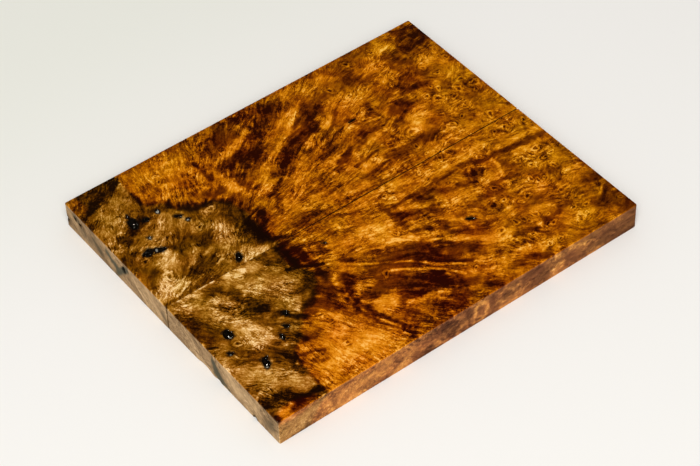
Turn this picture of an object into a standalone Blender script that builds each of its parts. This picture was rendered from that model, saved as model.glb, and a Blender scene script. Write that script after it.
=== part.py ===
"""A bookmatched pair of stabilized burl scales, the two cheeks of a knife handle before they are shaped.

Both scales are sawn from one block, opened like a book and laid side by side, show faces up.
Units are metres. +X runs along the scales, away from the end with the bark pockets; +Y is the left scale's side; +Z is up.
The origin lies on the ground, under the middle of the pair.
"""

import math
import random

import bmesh
import bpy
from mathutils import Matrix, Vector

# Driving dimensions
MM = 0.001
LENGTH = 130.0 * MM
SCALE_WIDTH = 53.5 * MM
THICKNESS = 9.3 * MM
SEAM_GAP = 0.3 * MM
CORNER_ROUND = 0.5 * MM
ARRIS = 0.25 * MM

# How finely the rounded shapes are cut, and the bends that count as an arris
CORNER_STEPS = 4
ARRIS_STEPS = 2
ARRIS_BEND = math.radians(60)
VOID_SEGMENTS = 18
VOID_RINGS = 10

# How far a void's wall waves in and out, and its waves: how many round the wall, how strong
LUMPINESS = 0.13
LUMP_WAVES = ((3, 1.0), (5, 0.6))
VOID_SEED = 7

# Polished gold wood
GOLD_COLOUR = (0.42, 0.17, 0.035)
POLISH_ROUGHNESS = 0.22

# Open voids in the show face, in millimetres and degrees:
# along X, distance from the seam, half length, half width, depth, turn away from +X towards the outer side
LEFT_TOP_VOIDS = (
    (-54.0, 33.4, 2.5, 1.35, 2.6, 84),
    (-53.7, 36.5, 1.4, 0.40, 0.9, 86),
    (-50.0, 32.4, 1.0, 0.80, 1.5, 20),
    (-45.6, 33.1, 1.0, 0.70, 0.8, 100),
    (-42.2, 28.0, 0.9, 0.60, 1.4, 140),
    (-41.3, 27.3, 0.7, 0.50, 1.0, 60),
    (-40.4, 24.9, 0.7, 0.65, 0.9, 0),
    (-53.4, 25.6, 0.7, 0.60, 0.8, 60),
    (-57.1, 20.8, 1.9, 1.25, 2.8, 5),
    (-56.6, 21.5, 0.8, 0.80, 1.6, 0),
    (-53.8, 19.8, 2.2, 1.00, 2.0, -27),
    (-37.7, 3.0, 1.8, 1.05, 2.2, 55),
    (22.3, 27.7, 1.3, 0.35, 0.6, 5),
)
RIGHT_TOP_VOIDS = (
    (-57.3, 19.4, 1.9, 1.40, 2.6, 100),
    (-60.8, 25.6, 0.9, 0.75, 1.2, 60),
    (-55.1, 34.6, 2.0, 1.10, 2.4, 110),
    (-54.3, 33.0, 0.9, 0.80, 1.4, 30),
    (-42.8, 27.0, 1.1, 0.70, 1.4, 45),
    (-45.9, 29.6, 1.3, 0.65, 1.2, 95),
    (-40.0, 23.0, 1.0, 0.70, 0.9, 80),
    (-15.1, 8.2, 0.6, 0.40, 0.6, 30),
    (23.7, 27.2, 1.5, 0.50, 0.8, 30),
)

# Small voids in the end at -X, in millimetres: distance from the seam, height, half width, half height, depth
LEFT_END_VOIDS = (
    (53.0, 3.4, 0.6, 0.60, 0.8),
    (48.1, 6.8, 0.6, 0.45, 0.6),
    (45.6, 6.0, 0.6, 0.50, 0.9),
    (22.2, 6.2, 0.9, 0.80, 1.2),
)
RIGHT_END_VOIDS = (
    (17.8, 0.4, 4.2, 1.70, 1.1),
    (24.6, 1.2, 2.0, 2.30, 0.9),
    (42.2, 0.2, 0.8, 0.70, 0.7),
)


def clear_scene():
    """Removes whatever the file opened with."""
    for old in list(bpy.data.objects):
        bpy.data.objects.remove(old, do_unlink=True)


def burl_material(name, colour, roughness):
    """Polished resin-filled wood."""
    material = bpy.data.materials.new(name)
    material.use_nodes = True
    shader = material.node_tree.nodes["Principled BSDF"]
    shader.inputs["Base Color"].default_value = (*colour, 1.0)
    shader.inputs["Roughness"].default_value = roughness
    shader.inputs["Metallic"].default_value = 0.0
    return material


def add_object(name, mesh, parent):
    """Puts a mesh in the scene under its parent empty."""
    made = bpy.data.objects.new(name, mesh)
    bpy.context.scene.collection.objects.link(made)
    made.parent = parent
    return made


def rounded_outline(length, width, radius, steps):
    """Corner points of a rectangle with round corners, anticlockwise from the corner at +X +Y."""
    points = []
    for turn, (sx, sy) in enumerate(((1, 1), (-1, 1), (-1, -1), (1, -1))):
        centre = Vector((sx * (length / 2 - radius), sy * (width / 2 - radius)))
        for step in range(steps + 1):
            angle = math.radians(90 * (turn + step / steps))
            points.append(centre + radius * Vector((math.cos(angle), math.sin(angle))))
    return points


def plate_mesh(name):
    """One sawn and squared scale, its middle over the object's origin and its back on the ground."""
    mesh = bpy.data.meshes.new(name)
    plate = bmesh.new()
    outline = rounded_outline(LENGTH, SCALE_WIDTH, CORNER_ROUND, CORNER_STEPS)
    foot = [plate.verts.new((point.x, point.y, 0.0)) for point in outline]
    back = plate.faces.new(list(reversed(foot)))
    raised = bmesh.ops.extrude_face_region(plate, geom=[back])
    top = [item for item in raised["geom"] if isinstance(item, bmesh.types.BMVert)]
    bmesh.ops.translate(plate, verts=top, vec=(0.0, 0.0, THICKNESS))
    bmesh.ops.recalc_face_normals(plate, faces=plate.faces)
    plate.to_mesh(mesh)
    plate.free()
    return mesh


def add_void(cutters, centre, half_sizes, turn, draw):
    """A lumpy egg that leaves one irregular pocket where it passes through the wood."""
    made = bmesh.ops.create_uvsphere(
        cutters, u_segments=VOID_SEGMENTS, v_segments=VOID_RINGS, radius=1.0
    )
    waves = [(count, strength, draw.uniform(0, math.tau)) for count, strength in LUMP_WAVES]
    size = Matrix.Diagonal((*half_sizes, 1.0))
    place = Matrix.Translation(centre) @ turn @ size
    for vertex in made["verts"]:
        around = math.atan2(vertex.co.y, vertex.co.x)
        lump = sum(strength * math.sin(count * around + phase) for count, strength, phase in waves)
        vertex.co *= 1.0 + LUMPINESS * lump * math.hypot(vertex.co.x, vertex.co.y)
        vertex.co = place @ vertex.co


def void_cutters(name, side, top_voids, end_voids, parent):
    """Every pocket of one scale as one hidden cutter. side is +1 for the left scale and -1 for the right one."""
    draw = random.Random(VOID_SEED + side)
    cutters = bmesh.new()
    seam_edge = -side * SCALE_WIDTH / 2
    for along, from_seam, half_length, half_width, depth, turn in top_voids:
        centre = Vector((along * MM, seam_edge + side * from_seam * MM, THICKNESS))
        spin = Matrix.Rotation(math.radians(side * turn), 4, "Z")
        add_void(cutters, centre, (half_length * MM, half_width * MM, depth * MM), spin, draw)
    for from_seam, height, half_width, half_height, depth in end_voids:
        centre = Vector((-LENGTH / 2, seam_edge + side * from_seam * MM, height * MM))
        lay_over = Matrix.Rotation(math.radians(90), 4, "Y")
        add_void(cutters, centre, (half_height * MM, half_width * MM, depth * MM), lay_over, draw)
    mesh = bpy.data.meshes.new(name)
    cutters.to_mesh(mesh)
    cutters.free()
    cutter = add_object(name, mesh, parent)
    cutter.display_type = "WIRE"
    cutter.hide_render = True
    return cutter


def build_scale(name, side, top_voids, end_voids, material):
    """One scale: the squared plate, its edges eased by sanding, its natural pockets open."""
    stand = bpy.data.objects.new(name + "_place", None)
    bpy.context.scene.collection.objects.link(stand)
    stand.location.y = side * (SEAM_GAP + SCALE_WIDTH) / 2
    scale = add_object(name, plate_mesh(name), stand)
    scale.data.materials.append(material)
    eased = scale.modifiers.new("sanded_arrises", "BEVEL")
    eased.width = ARRIS
    eased.segments = ARRIS_STEPS
    eased.limit_method = "ANGLE"
    eased.angle_limit = ARRIS_BEND
    pockets = scale.modifiers.new("bark_pockets", "BOOLEAN")
    pockets.operation = "DIFFERENCE"
    pockets.solver = "EXACT"
    pockets.use_self = True
    pockets.object = void_cutters(name + "_voids", side, top_voids, end_voids, stand)
    return scale


clear_scene()
gold_burl = burl_material("gold_burl", GOLD_COLOUR, POLISH_ROUGHNESS)
build_scale("scale_left", 1, LEFT_TOP_VOIDS, LEFT_END_VOIDS, gold_burl)
build_scale("scale_right", -1, RIGHT_TOP_VOIDS, RIGHT_END_VOIDS, gold_burl)
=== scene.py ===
# %% [markdown]
# # A bookmatched pair of burl scales
# A burl is a knot of wood in which the fibres fan out, swirl round buds and change colour where the tree
# drew in minerals. Two slices of one block, opened like a book, make the two cheeks of a knife handle.
# This script dresses the two plain solids of the frame: it lays the figure of the wood out with numbers,
# models each slice again with fine pockets and eased edges, and paints it with shader nodes.

# %% Load the frame and measure it
import math

import bmesh
import bpy
import numpy as np
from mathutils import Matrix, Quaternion, Vector


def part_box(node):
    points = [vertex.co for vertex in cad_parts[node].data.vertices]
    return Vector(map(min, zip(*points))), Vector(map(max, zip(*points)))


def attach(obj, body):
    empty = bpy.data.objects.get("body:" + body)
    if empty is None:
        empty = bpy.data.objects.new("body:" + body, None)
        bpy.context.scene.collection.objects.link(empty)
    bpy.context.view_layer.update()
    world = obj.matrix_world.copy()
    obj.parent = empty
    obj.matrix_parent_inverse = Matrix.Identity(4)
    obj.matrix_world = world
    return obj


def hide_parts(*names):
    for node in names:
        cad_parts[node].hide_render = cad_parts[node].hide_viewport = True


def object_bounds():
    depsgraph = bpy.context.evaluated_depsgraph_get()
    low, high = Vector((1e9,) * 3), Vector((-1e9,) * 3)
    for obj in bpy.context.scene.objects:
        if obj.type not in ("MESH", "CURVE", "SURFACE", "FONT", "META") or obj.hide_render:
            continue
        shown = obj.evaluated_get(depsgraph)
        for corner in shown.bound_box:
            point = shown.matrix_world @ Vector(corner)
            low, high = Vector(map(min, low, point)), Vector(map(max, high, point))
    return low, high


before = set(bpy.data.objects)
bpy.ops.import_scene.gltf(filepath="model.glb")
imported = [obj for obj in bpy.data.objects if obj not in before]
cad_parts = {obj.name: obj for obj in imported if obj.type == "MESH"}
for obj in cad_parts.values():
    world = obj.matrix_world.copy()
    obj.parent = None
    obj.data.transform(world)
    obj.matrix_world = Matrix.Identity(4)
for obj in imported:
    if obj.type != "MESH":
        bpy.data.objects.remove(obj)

MM = 0.001
cad_low, cad_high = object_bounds()
THICKNESS = (cad_high.z - cad_low.z) / MM
print("frame box in mm:", [round(c / MM, 2) for c in (*cad_low, *cad_high)])

# %% [markdown]
# ## The camera
# A long lens far away keeps the edges of a small flat thing nearly parallel, as product pictures do. The
# camera is placed by where it stands and by the point it looks at, so both can be read as real distances.
# A slight roll tips the whole picture, because the real camera was held a little askew.

# %% Place the camera
CAMERA_SPOT = Vector((-262.73, -367.70, 463.91)) * MM
CAMERA_AIM = Vector((-7.07, -9.72, 9.30)) * MM
CAMERA_ROLL = math.radians(-2.67)
LENS_MM, SENSOR_MM = 112.2, 36.0

lens = bpy.data.cameras.new("picture_camera")
lens.lens, lens.sensor_width = LENS_MM, SENSOR_MM
lens.dof.use_dof = False
camera = bpy.data.objects.new("picture_camera", lens)
bpy.context.scene.collection.objects.link(camera)
sight = CAMERA_AIM - CAMERA_SPOT
camera.rotation_mode = "QUATERNION"
camera.location = CAMERA_SPOT
camera.rotation_quaternion = sight.to_track_quat("-Z", "Y") @ Quaternion((0, 0, 1), CAMERA_ROLL)
bpy.context.scene.camera = camera
print("camera distance mm", round(sight.length / MM), "right", camera.rotation_quaternion @ Vector((1, 0, 0)))

# %% [markdown]
# ## Node helpers
# Every finish below is a small graph of shader nodes. Helpers keep the cells short: they add a node and fill
# its sockets, do arithmetic, blend colours, and make a node group with named inputs and outputs.

# %% Helpers for shader graphs
def srgb(red, green, blue):
    """A colour written as 0 to 255 screen values, as the linear numbers that a shader works with."""
    shares = [value / 255 for value in (red, green, blue)]
    return (*(s / 12.92 if s <= 0.04 else ((s + 0.055) / 1.055) ** 2.4 for s in shares), 1.0)


def fill(tree, node, sockets):
    """Gives each input socket its value, or links it to the output that feeds it."""
    for key, value in sockets.items():
        if isinstance(value, bpy.types.NodeSocket):
            tree.links.new(value, node.inputs[key])
        else:
            node.inputs[key].default_value = value
    return node


def add(tree, kind, sockets=None, **settings):
    """Adds a node. kind is its Blender name without ShaderNode in front."""
    made = tree.nodes.new("ShaderNode" + kind)
    for key, value in settings.items():
        setattr(made, key, value)
    return fill(tree, made, sockets or {})


def sums(tree, operation, *values):
    """One Math node; values are numbers or output sockets."""
    return add(tree, "Math", dict(enumerate(values)), operation=operation).outputs[0]


def vector(tree, operation, first, second):
    """One Vector Math node on two vectors."""
    return add(tree, "VectorMath", {0: first, 1: second}, operation=operation).outputs[0]


def scaled(tree, first, factor):
    """A vector made longer or shorter."""
    return add(tree, "VectorMath", {0: first, "Scale": factor}, operation="SCALE").outputs[0]


def speckle(tree, where, scale, detail, output="Fac"):
    """Noise at a place: a value near a half, or a colour of three such values."""
    return add(tree, "TexNoise", {"Vector": where, "Scale": scale, "Detail": detail}).outputs[output]


def spread(tree, value, low, high, to_low=0.0, to_high=1.0, kind="LINEAR"):
    """Carries a value from the range low to high into another range, and stops at its ends."""
    sockets = {"Value": value, "From Min": low, "From Max": high, "To Min": to_low, "To Max": to_high}
    return add(tree, "MapRange", sockets, interpolation_type=kind).outputs[0]


def blend(tree, share, first, second):
    """A mix of two colours; share says how much of the second."""
    mixed = add(tree, "Mix", {"Factor": share}, data_type="RGBA")
    return fill(tree, mixed, {6: first, 7: second}).outputs[2]


def new_group(name, inputs, outputs):
    """A node group. inputs are (name, default) of numbers, outputs are (name, kind)."""
    group = bpy.data.node_groups.new(name, "ShaderNodeTree")
    for label, default in inputs:
        socket = group.interface.new_socket(label, in_out="INPUT", socket_type="NodeSocketFloat")
        socket.default_value = default
    for label, kind in outputs:
        group.interface.new_socket(label, in_out="OUTPUT", socket_type="NodeSocket" + kind)
    return group, group.nodes.new("NodeGroupInput").outputs, group.nodes.new("NodeGroupOutput").inputs


def place(tree, group, sockets):
    """Puts a node group into a material, with its own values."""
    made = tree.nodes.new("ShaderNodeGroup")
    made.node_tree = group
    return fill(tree, made, sockets)


def ramp(tree, value, stops):
    """A colour ramp through (place, (red, green, blue)) stops, colours in screen values."""
    made = add(tree, "ValToRGB", {"Fac": value})
    made.color_ramp.interpolation = "EASE" if len(stops) < 3 else "LINEAR"
    elements = made.color_ramp.elements
    while len(elements) < len(stops):
        elements.new(0.5)
    for element, (spot, _) in zip(elements, stops):
        element.position = spot
    for element, (_, colour) in zip(elements, stops):
        element.color = srgb(*colour)
    return made.outputs["Color"]


def new_material(name):
    """A material, its node tree and its main shader."""
    made = bpy.data.materials.new(name)
    made.use_nodes = True
    return made, made.node_tree, made.node_tree.nodes["Principled BSDF"]


# %% [markdown]
# ## The table and the light
# The scales lie on a pale smooth table under light that comes from all sides, so hardly any shadow shows.
# A bright sky alone would also put a white veil on the polish. So the sky that mirrors see is kept dim,
# and two soft panels add the little modelling and the glints in the pockets. The table is nearly in touch
# with the scales, which would leave their undersides black from below, so it glows a little at close reach.

# %% Build the table
TABLE_SIZE = 6.0
TABLE_DROP = 0.05 * MM
TABLE_DIM, TABLE_BRIGHT = (232, 232, 223), (239, 237, 233)
TABLE_PATCHES = 14.0
TABLE_ROUGHNESS, TABLE_GLOSS = 0.6, 0.2
CONTACT_REACH, CONTACT_LIGHT, CONTACT_COLOUR = 0.4 * MM, 0.5, (1.0, 0.98, 0.95, 1.0)

table_mesh = bpy.data.meshes.new("pale_table")
half = TABLE_SIZE / 2
corners = [(-half, -half, 0), (half, -half, 0), (half, half, 0), (-half, half, 0)]
table_mesh.from_pydata(corners, [], [(0, 1, 2, 3)])
table = bpy.data.objects.new("pale_table", table_mesh)
bpy.context.scene.collection.objects.link(table)
table.location.z = -TABLE_DROP

table_finish, tree, skin = new_material("pale_table")
where = add(tree, "SeparateXYZ", {0: add(tree, "TexCoord").outputs["Object"]})
# painted shade: the table's colour is dimmer towards the back and brighter towards the front and the right,
# as the light falls off; noise makes it uneven
table_light_share = sums(tree, "SUBTRACT", sums(tree, "MULTIPLY", where.outputs["X"], 0.1), where.outputs["Y"])
spots = add(tree, "TexNoise", {"Scale": TABLE_PATCHES, "Detail": 4.0})
table_light_share = sums(tree, "MULTIPLY_ADD", spots.outputs["Fac"], 0.05, table_light_share)
shade = ramp(tree, spread(tree, table_light_share, -0.11, 0.0), ((0.0, TABLE_DIM), (1.0, TABLE_BRIGHT)))
fill(tree, skin, {"Base Color": shade, "Roughness": TABLE_ROUGHNESS, "Specular IOR Level": TABLE_GLOSS})
rays = add(tree, "LightPath").outputs
close_by = sums(tree, "LESS_THAN", rays["Ray Length"], CONTACT_REACH)
bounced = sums(tree, "MULTIPLY", rays["Is Diffuse Ray"], close_by)
contact = add(tree, "Emission", {"Color": CONTACT_COLOUR, "Strength": CONTACT_LIGHT})
resting = add(tree, "MixShader", {0: bounced, 1: skin.outputs[0], 2: contact.outputs[0]})
unseen = add(tree, "BsdfTransparent")
under = add(tree, "NewGeometry").outputs["Backfacing"]
either = add(tree, "MixShader", {0: under, 1: resting.outputs[0], 2: unseen.outputs[0]})
tree.links.new(either.outputs[0], tree.nodes["Material Output"].inputs["Surface"])
table.data.materials.append(table_finish)

# %% Light it
SKY_COLOUR = (1.0, 0.995, 0.985, 1.0)
SKY_STRENGTH, SKY_IN_MIRRORS = 0.42, 0.03

world = bpy.data.worlds.new("soft_studio")
bpy.context.scene.world = world
world.use_nodes = True
tree = world.node_tree
sky = fill(tree, tree.nodes["Background"], {"Color": SKY_COLOUR, "Strength": SKY_STRENGTH})
dim = add(tree, "Background", {"Color": SKY_COLOUR, "Strength": SKY_IN_MIRRORS})
rays = add(tree, "LightPath").outputs
pick = add(tree, "MixShader", {0: rays["Is Glossy Ray"], 1: sky.outputs[0], 2: dim.outputs[0]})
tree.links.new(pick.outputs[0], tree.nodes["World Output"].inputs["Surface"])


def panel(name, spot, size, watts, colour):
    """A soft box at spot (metres) that faces the scales."""
    lamp = bpy.data.lights.new(name, "AREA")
    lamp.shape = "RECTANGLE"
    lamp.size, lamp.size_y = size
    lamp.energy = watts
    lamp.color = colour
    made = bpy.data.objects.new(name, lamp)
    bpy.context.scene.collection.objects.link(made)
    made.location = spot
    made.rotation_mode = "QUATERNION"
    made.rotation_quaternion = (-Vector(spot)).to_track_quat("-Z", "Y")
    return made


panel("camera_panel", (-0.62, -0.85, 1.25), (0.9, 0.9), 24.2, (1.0, 0.99, 0.975)).visible_glossy = False
panel("glint_lamp", (-0.9, 0.45, 1.25), (0.2, 0.2), 13.0, (1.0, 0.95, 0.84)).visible_diffuse = False
bpy.context.scene.view_settings.view_transform = "Standard"
print("lights", len(bpy.data.lights))

# %% [markdown]
# ## Where the figure lies
# A burl slice can't be painted by one noise texture, because its look is in the places: a grey mineral end,
# a dark line round it, flames that fan out from there, and nets of small eyes. So the places are written
# down as a maker would sketch them on the wood: strokes with a strength (plus is light, minus is dark), a
# half width, and points as distances along the scale and out from the seam. All lengths are millimetres.

# %% Marks on the left scale
LEFT = {
    "border": (
        (-24.5, -20), (-24.5, 0), (-25.5, 2), (-26.3, 6), (-25.8, 10), (-25.3, 15), (-26.3, 21),
        (-28.5, 25), (-31.5, 27), (-35.8, 27.3), (-38, 29.5), (-40.6, 31), (-42, 34.5), (-45.5, 36.5),
        (-47.6, 38), (-47.3, 46), (-47.5, 53.7), (-48, 75),
    ),
    "gold_patches": (
        (-63.3, 49.6, 2.6, 4.0, 0.6), (-66.0, 13.0, 4.5, 4.0, 0.45),
    ),
    # broad soft washes
    "washes": (
        (-0.35, 3.5, -63, 47, -58, 50), (-0.5, 8.0, 14, 45, 34, 46), (0.35, 7.0, -12, 16, 0, 14),
        (0.25, 4.0, 4, 8, 2, 4), (-0.35, 5.0, -61, 20, -59, 15), (-0.5, 4.0, -52, 1, -48, 2),
        (-0.4, 4.5, -42, 20, -38, 19), (0.25, 4.0, -32, 44, -28, 42), (0.3, 5.0, 2, 50, 0, 52),
        (-0.2, 4.0, -13, 40, -8, 40), (0.5, 4.0, 60, 50, 62, 52), (0.25, 5.0, 42, 2, 60, 3),
        (0.35, 3.0, -11, 29, -8, 30), (-0.35, 3.0, -31, 30, -29, 30), (-0.35, 4.0, 60, 30, 62, 31),
        (0.25, 3.5, 39, 30, 41, 30), (-0.35, 3.0, -31, 20, -30, 22), (-0.25, 4.0, 48, 10, 62, 10),
        (-0.3, 3.5, -61, 11, -60, 12), (-0.25, 3.5, -52, 40, -50, 41), (-0.4, 3.0, 11, 39, 13, 40),
        (0.3, 3.5, 4, 51, 12, 51),
    ),
    "eyes": (
        (49, 19, 2.0), (53.5, 16.5, 1.4), (56.8, 18.3, 1.8), (62.5, 17.5, 2.2), (33.5, 12.5, 2.2),
        (25.3, 43, 1.6), (42, 33, 1.1), (57, 3.5, 1.8), (47, 21.5, 1.2), (53, 11, 1.2), (60, 21.5, 1.5),
        (63, 32.5, 1.4), (28.5, 37.5, 1.3), (-57.5, 9.5, 2.2), (13.5, 13.5, 1.0), (52, 22.5, 1.2),
        (-38.3, 43.3, 1.2), (-33, 24, 1.8), (-39.5, 20, 1.3), (30, 28, 2.0), (25, 12.5, 1.3),
        (31, 2.2, 0.9),
    ),
    "strokes": (
        # black line along the border
        (-1.2, 0.5, -47.5, 44, -47.7, 38.5), (-1.1, 0.6, -46.2, 37, -44, 36.6),
        (-1.7, 0.95, -41.4, 34.4, -40.8, 31.6), (-1.8, 1.5, -38.8, 29.6, -36.6, 27.6),
        (-1.7, 1.0, -36, 26.4, -32, 26.7, -29, 25.3, -27.4, 22.6), (-0.9, 2.2, -28, 21, -27.5, 17),
        (-1.6, 1.9, -27.8, 13.5, -27, 8.5, -27.2, 4), (-1.2, 0.8, -25, 11, -22.5, 14),
        (-1.2, 0.9, -24.8, 7.5, -22, 13), (-1.3, 0.7, -25, 2.6, -22.8, 1.2),
        (-0.6, 1.6, -30.5, 9, -30, 5), (-0.6, 2.0, -30.3, 16, -29.5, 12),
        # gold side, light
        (0.2, 3.2, -45, 49.5, -38, 48, -33, 50), (0.45, 0.9, -45.6, 52, -45.8, 46, -45.4, 40.4),
        (-0.45, 0.9, -44.6, 42.4, -41, 43.6), (-0.4, 0.8, -43, 39, -40.4, 40.8),
        (-0.4, 0.9, -37, 42.6, -34, 41.4), (0.15, 2.2, -30, 48, -26, 49),
        (0.15, 3.0, -38, 37.5, -34, 34, -31, 33), (0.2, 1.8, -36, 40, -32, 43.5),
        (0.5, 1.4, -28, 41, -27.3, 36), (0.45, 1.2, -24, 37.5, -22.8, 32.5),
        (0.9, 1.2, -23.3, 30, -22, 27.6, -23, 25.8), (0.5, 0.8, -24.5, 41, -21.3, 42.6),
        (0.8, 1.1, -14.5, 40, -10, 42.3, -5, 44.4), (0.5, 1.0, -21, 38.8, -15, 39.6),
        (0.5, 0.8, -17, 50.4, -8, 53.5), (0.6, 1.0, -8, 47.6, -5, 48),
        (1.0, 1.0, -10, 27.5, -5, 30.8, 0, 33.3, 5, 36.3, 10, 40.6, 14, 45),
        (0.6, 0.8, -4.5, 36, 0, 38.7, 5, 41.2, 9, 43), (0.45, 1.4, -1, 35.4, 6, 39.2, 11, 43),
        (0.45, 1.6, -13, 25, -9, 28.2), (0.7, 1.6, -15.5, 20, -12, 22.5),
        (0.5, 1.4, -20.5, 17.2, -17.5, 15.6), (0.55, 2.2, -24, 5.2, -19, 7, -13, 9.2),
        (0.55, 1.8, -13, 11, -8, 15.2, -3, 18), (0.4, 1.8, -10, 6, -4, 8.4),
        (0.4, 1.4, -19, 12, -13, 12.5), (0.5, 2.6, 12, 49.6, 20, 48, 30, 47.6),
        (0.4, 1.4, 26, 49, 30, 46.4), (0.3, 2.4, 16, 44, 23, 45.2), (0.5, 1.3, 36, 43.6, 38, 41.6),
        (0.6, 1.9, 40.5, 43.2, 45, 41.6), (0.6, 1.5, 49.6, 49.6, 52.4, 46), (0.3, 2.2, 44, 46.4, 52, 47),
        (0.5, 2.4, 21, 37.6, 28, 36), (0.4, 2.0, 24, 33.5, 30, 34.2), (0.75, 1.3, 14.5, 31.2, 18.3, 33),
        (0.4, 1.8, 33, 37, 45, 37), (0.5, 1.1, 5, 27, 9.4, 30), (0.45, 1.0, 4.6, 22.6, 9.6, 25),
        (0.8, 1.5, -5, 18.6, -2, 21, 0.5, 24), (0.8, 0.8, 5.6, 15.6, 8.6, 18.2, 12, 18.8),
        (0.45, 1.4, 13, 24, 20, 25.4), (0.5, 1.0, 14, 16, 22, 17), (0.5, 1.6, 23, 18.2, 29, 18.2),
        (0.9, 2.1, 35.4, 12.6, 38.4, 15, 40.4, 15.8), (0.5, 1.4, 36.5, 18, 43, 19),
        (0.6, 1.0, 4.4, 9, 9, 10.8), (0.5, 1.4, 3, 3.4, 9, 3.4), (0.5, 1.2, -6, 3.6, -1, 5.6),
        (0.45, 1.0, 12, 8.6, 20, 9.2), (0.4, 1.4, 15, 2.4, 22, 3.2), (0.35, 1.5, 34, 2.6, 50, 2.6),
        (0.5, 2.0, 61, 31, 57, 35), (0.5, 2.0, 64, 27.4, 60, 26.2), (0.45, 1.8, 60.5, 11.2, 64, 9.4),
        (0.4, 1.4, 45.6, 23, 47.4, 25.4), (0.4, 1.4, 52, 23, 53.4, 24.6), (0.4, 1.8, 56.6, 36.4, 61, 36),
        (0.3, 2.0, 44, 12, 55, 11.5),
        # gold side, dark
        (-0.75, 2.4, -19.5, 42.6, -14.4, 47.6, -10.6, 52.4), (-0.65, 1.8, -14, 45, -9, 46, -6, 51),
        (-0.8, 2.2, -19.5, 36.4, -14, 36.8, -7, 36), (-0.6, 1.8, -14, 33.6, -8, 33.4),
        (-0.7, 1.4, -19.4, 31, -17.2, 33.6), (-0.9, 0.9, -25.6, 37.6, -26, 34),
        (-0.7, 0.7, -26, 43, -25.4, 40.4), (-0.9, 1.0, -29.4, 28.4, -25, 28.2),
        (-0.6, 2.0, -24, 25, -23.4, 18.4), (-0.6, 1.4, -19.4, 28.4, -18, 23.6),
        (-0.9, 1.0, -16, 17.2, -12.8, 18.6, -9.6, 20.2), (-0.6, 1.2, -14.4, 15, -16.4, 12.6),
        (-0.6, 0.9, -17, 2.6, -9.4, 3.2), (-0.6, 1.4, -10, 23.4, -5, 22.4),
        (-0.5, 1.2, -12, 30.4, -8, 30.6), (-0.75, 2.2, -5, 41, 0, 44, 4.4, 47),
        (-0.7, 1.8, -4.4, 50.4, 3, 50, 8.4, 48.6), (-0.75, 2.3, -4.4, 27, 0, 29.4, 5, 31),
        (-0.8, 1.8, 2.4, 32.4, 8, 33.6, 12.4, 34), (-1.1, 0.8, 6.6, 36.4, 10.4, 39),
        (-1.1, 0.9, 10, 35.4, 14.4, 37.6), (-0.7, 1.0, 8.6, 31.2, 12.4, 31.6),
        (-0.6, 0.5, 10.4, 27, 15.4, 29, 19.4, 32.6, 21, 35), (-0.6, 1.3, 5.6, 20.6, 10.4, 22),
        (-0.8, 1.3, 6.4, 13.4, 9.4, 15.6, 12.4, 17), (-0.9, 0.9, 11.8, 16.2, 15, 19),
        (-0.6, 0.8, 15.6, 16.2, 20, 17.8), (-0.8, 0.5, 11, 11, 20, 12.4), (-0.5, 1.2, 11, 24, 17, 25.8),
        (-0.7, 1.8, 24, 6.6, 31, 8, 38.4, 8.2), (-0.7, 0.5, 31, 8.8, 35.6, 8.8),
        (-1.2, 1.5, 34.4, 22.8, 38, 23.4, 40.6, 24), (-0.6, 1.0, 29.4, 26, 33.4, 27.2),
        (-0.8, 0.7, 28, 26.6, 30.4, 30.4), (-0.6, 1.3, 31, 17.6, 36.4, 19.4),
        (-0.6, 1.3, 20.4, 9, 23.4, 7), (-0.5, 1.2, 24.4, 24, 21, 21), (-0.8, 1.1, 49.8, 40.4, 53, 37.6),
        (-0.6, 0.9, 46, 41, 51, 41.6), (-0.7, 1.4, 52.4, 33.4, 53.4, 29.6),
        (-0.8, 0.7, 44.6, 28.6, 47, 27.2), (-0.6, 1.2, 41.4, 28, 50, 27),
        (-0.9, 2.6, 59.4, 50, 64.4, 47.4), (-0.8, 1.6, 61, 42, 64.4, 43.8), (-0.4, 1.5, 60, 37, 61, 41),
        (-0.45, 1.6, 34, 50, 40, 51.4), (-0.5, 1.0, 32.4, 44, 36, 42), (-0.6, 1.4, 55, 21.4, 56, 23.4),
        (-0.7, 0.9, 56, 13.6, 63, 13.6), (-0.6, 1.0, 60.4, 16.6, 60.4, 20.4),
        (-0.4, 1.8, 28.4, 22, 22, 19.4), (-0.5, 1.0, 0, 25, 5, 26), (-0.5, 0.8, -4, 7.4, 3, 7.9),
        (-0.5, 0.7, -5, 9.8, 1, 11), (-0.4, 1.0, 0, 13, 4, 15), (-0.5, 2.0, 50, 44, 60, 43),
        (-0.5, 1.0, 22, 41, 22, 45), (-0.35, 1.6, 44, 33, 49, 34), (-0.5, 1.5, 36, 30, 44, 30.6),
        (-0.4, 1.4, 13, 40, 18, 38), (-0.4, 1.2, 41, 14, 45, 10), (-0.4, 1.2, 50, 6.5, 55, 7.5),
        (-0.4, 1.4, 10, 6, 16, 5.2),
        # grey side, light
        (-0.7, 0.6, -65, 0.5, -52, 0.5), (0.85, 3.0, -59.6, 41.4, -54, 43, -51.4, 42.6),
        (0.7, 2.2, -63, 36.4, -57.4, 37.6), (0.65, 1.6, -63.6, 31.6, -60.4, 33.4),
        (0.5, 1.4, -64.2, 25.4, -62, 28), (0.4, 1.1, -48.8, 49.4, -48.6, 45),
        (0.65, 1.4, -53.4, 26, -50, 26), (0.5, 1.2, -53.4, 22, -51.6, 24.4),
        (0.75, 2.2, -56.4, 14.6, -53, 16.4, -52.4, 12.6), (0.9, 1.3, -61.6, 6, -58.4, 9.6, -56, 12),
        (0.75, 1.4, -64.4, 3.6, -57, 4.6, -54.4, 3.6), (0.6, 0.8, -50.4, 8.6, -47, 11.4, -44.6, 12.2),
        (0.6, 0.6, -44.8, 9.8, -41.6, 11), (0.85, 2.2, -37.4, 10, -35.2, 14, -34.2, 17.4),
        (0.7, 1.0, -43.4, 4.6, -40, 7.4, -36.8, 9.6), (0.65, 1.2, -42, 19.4, -40, 20.4),
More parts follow.
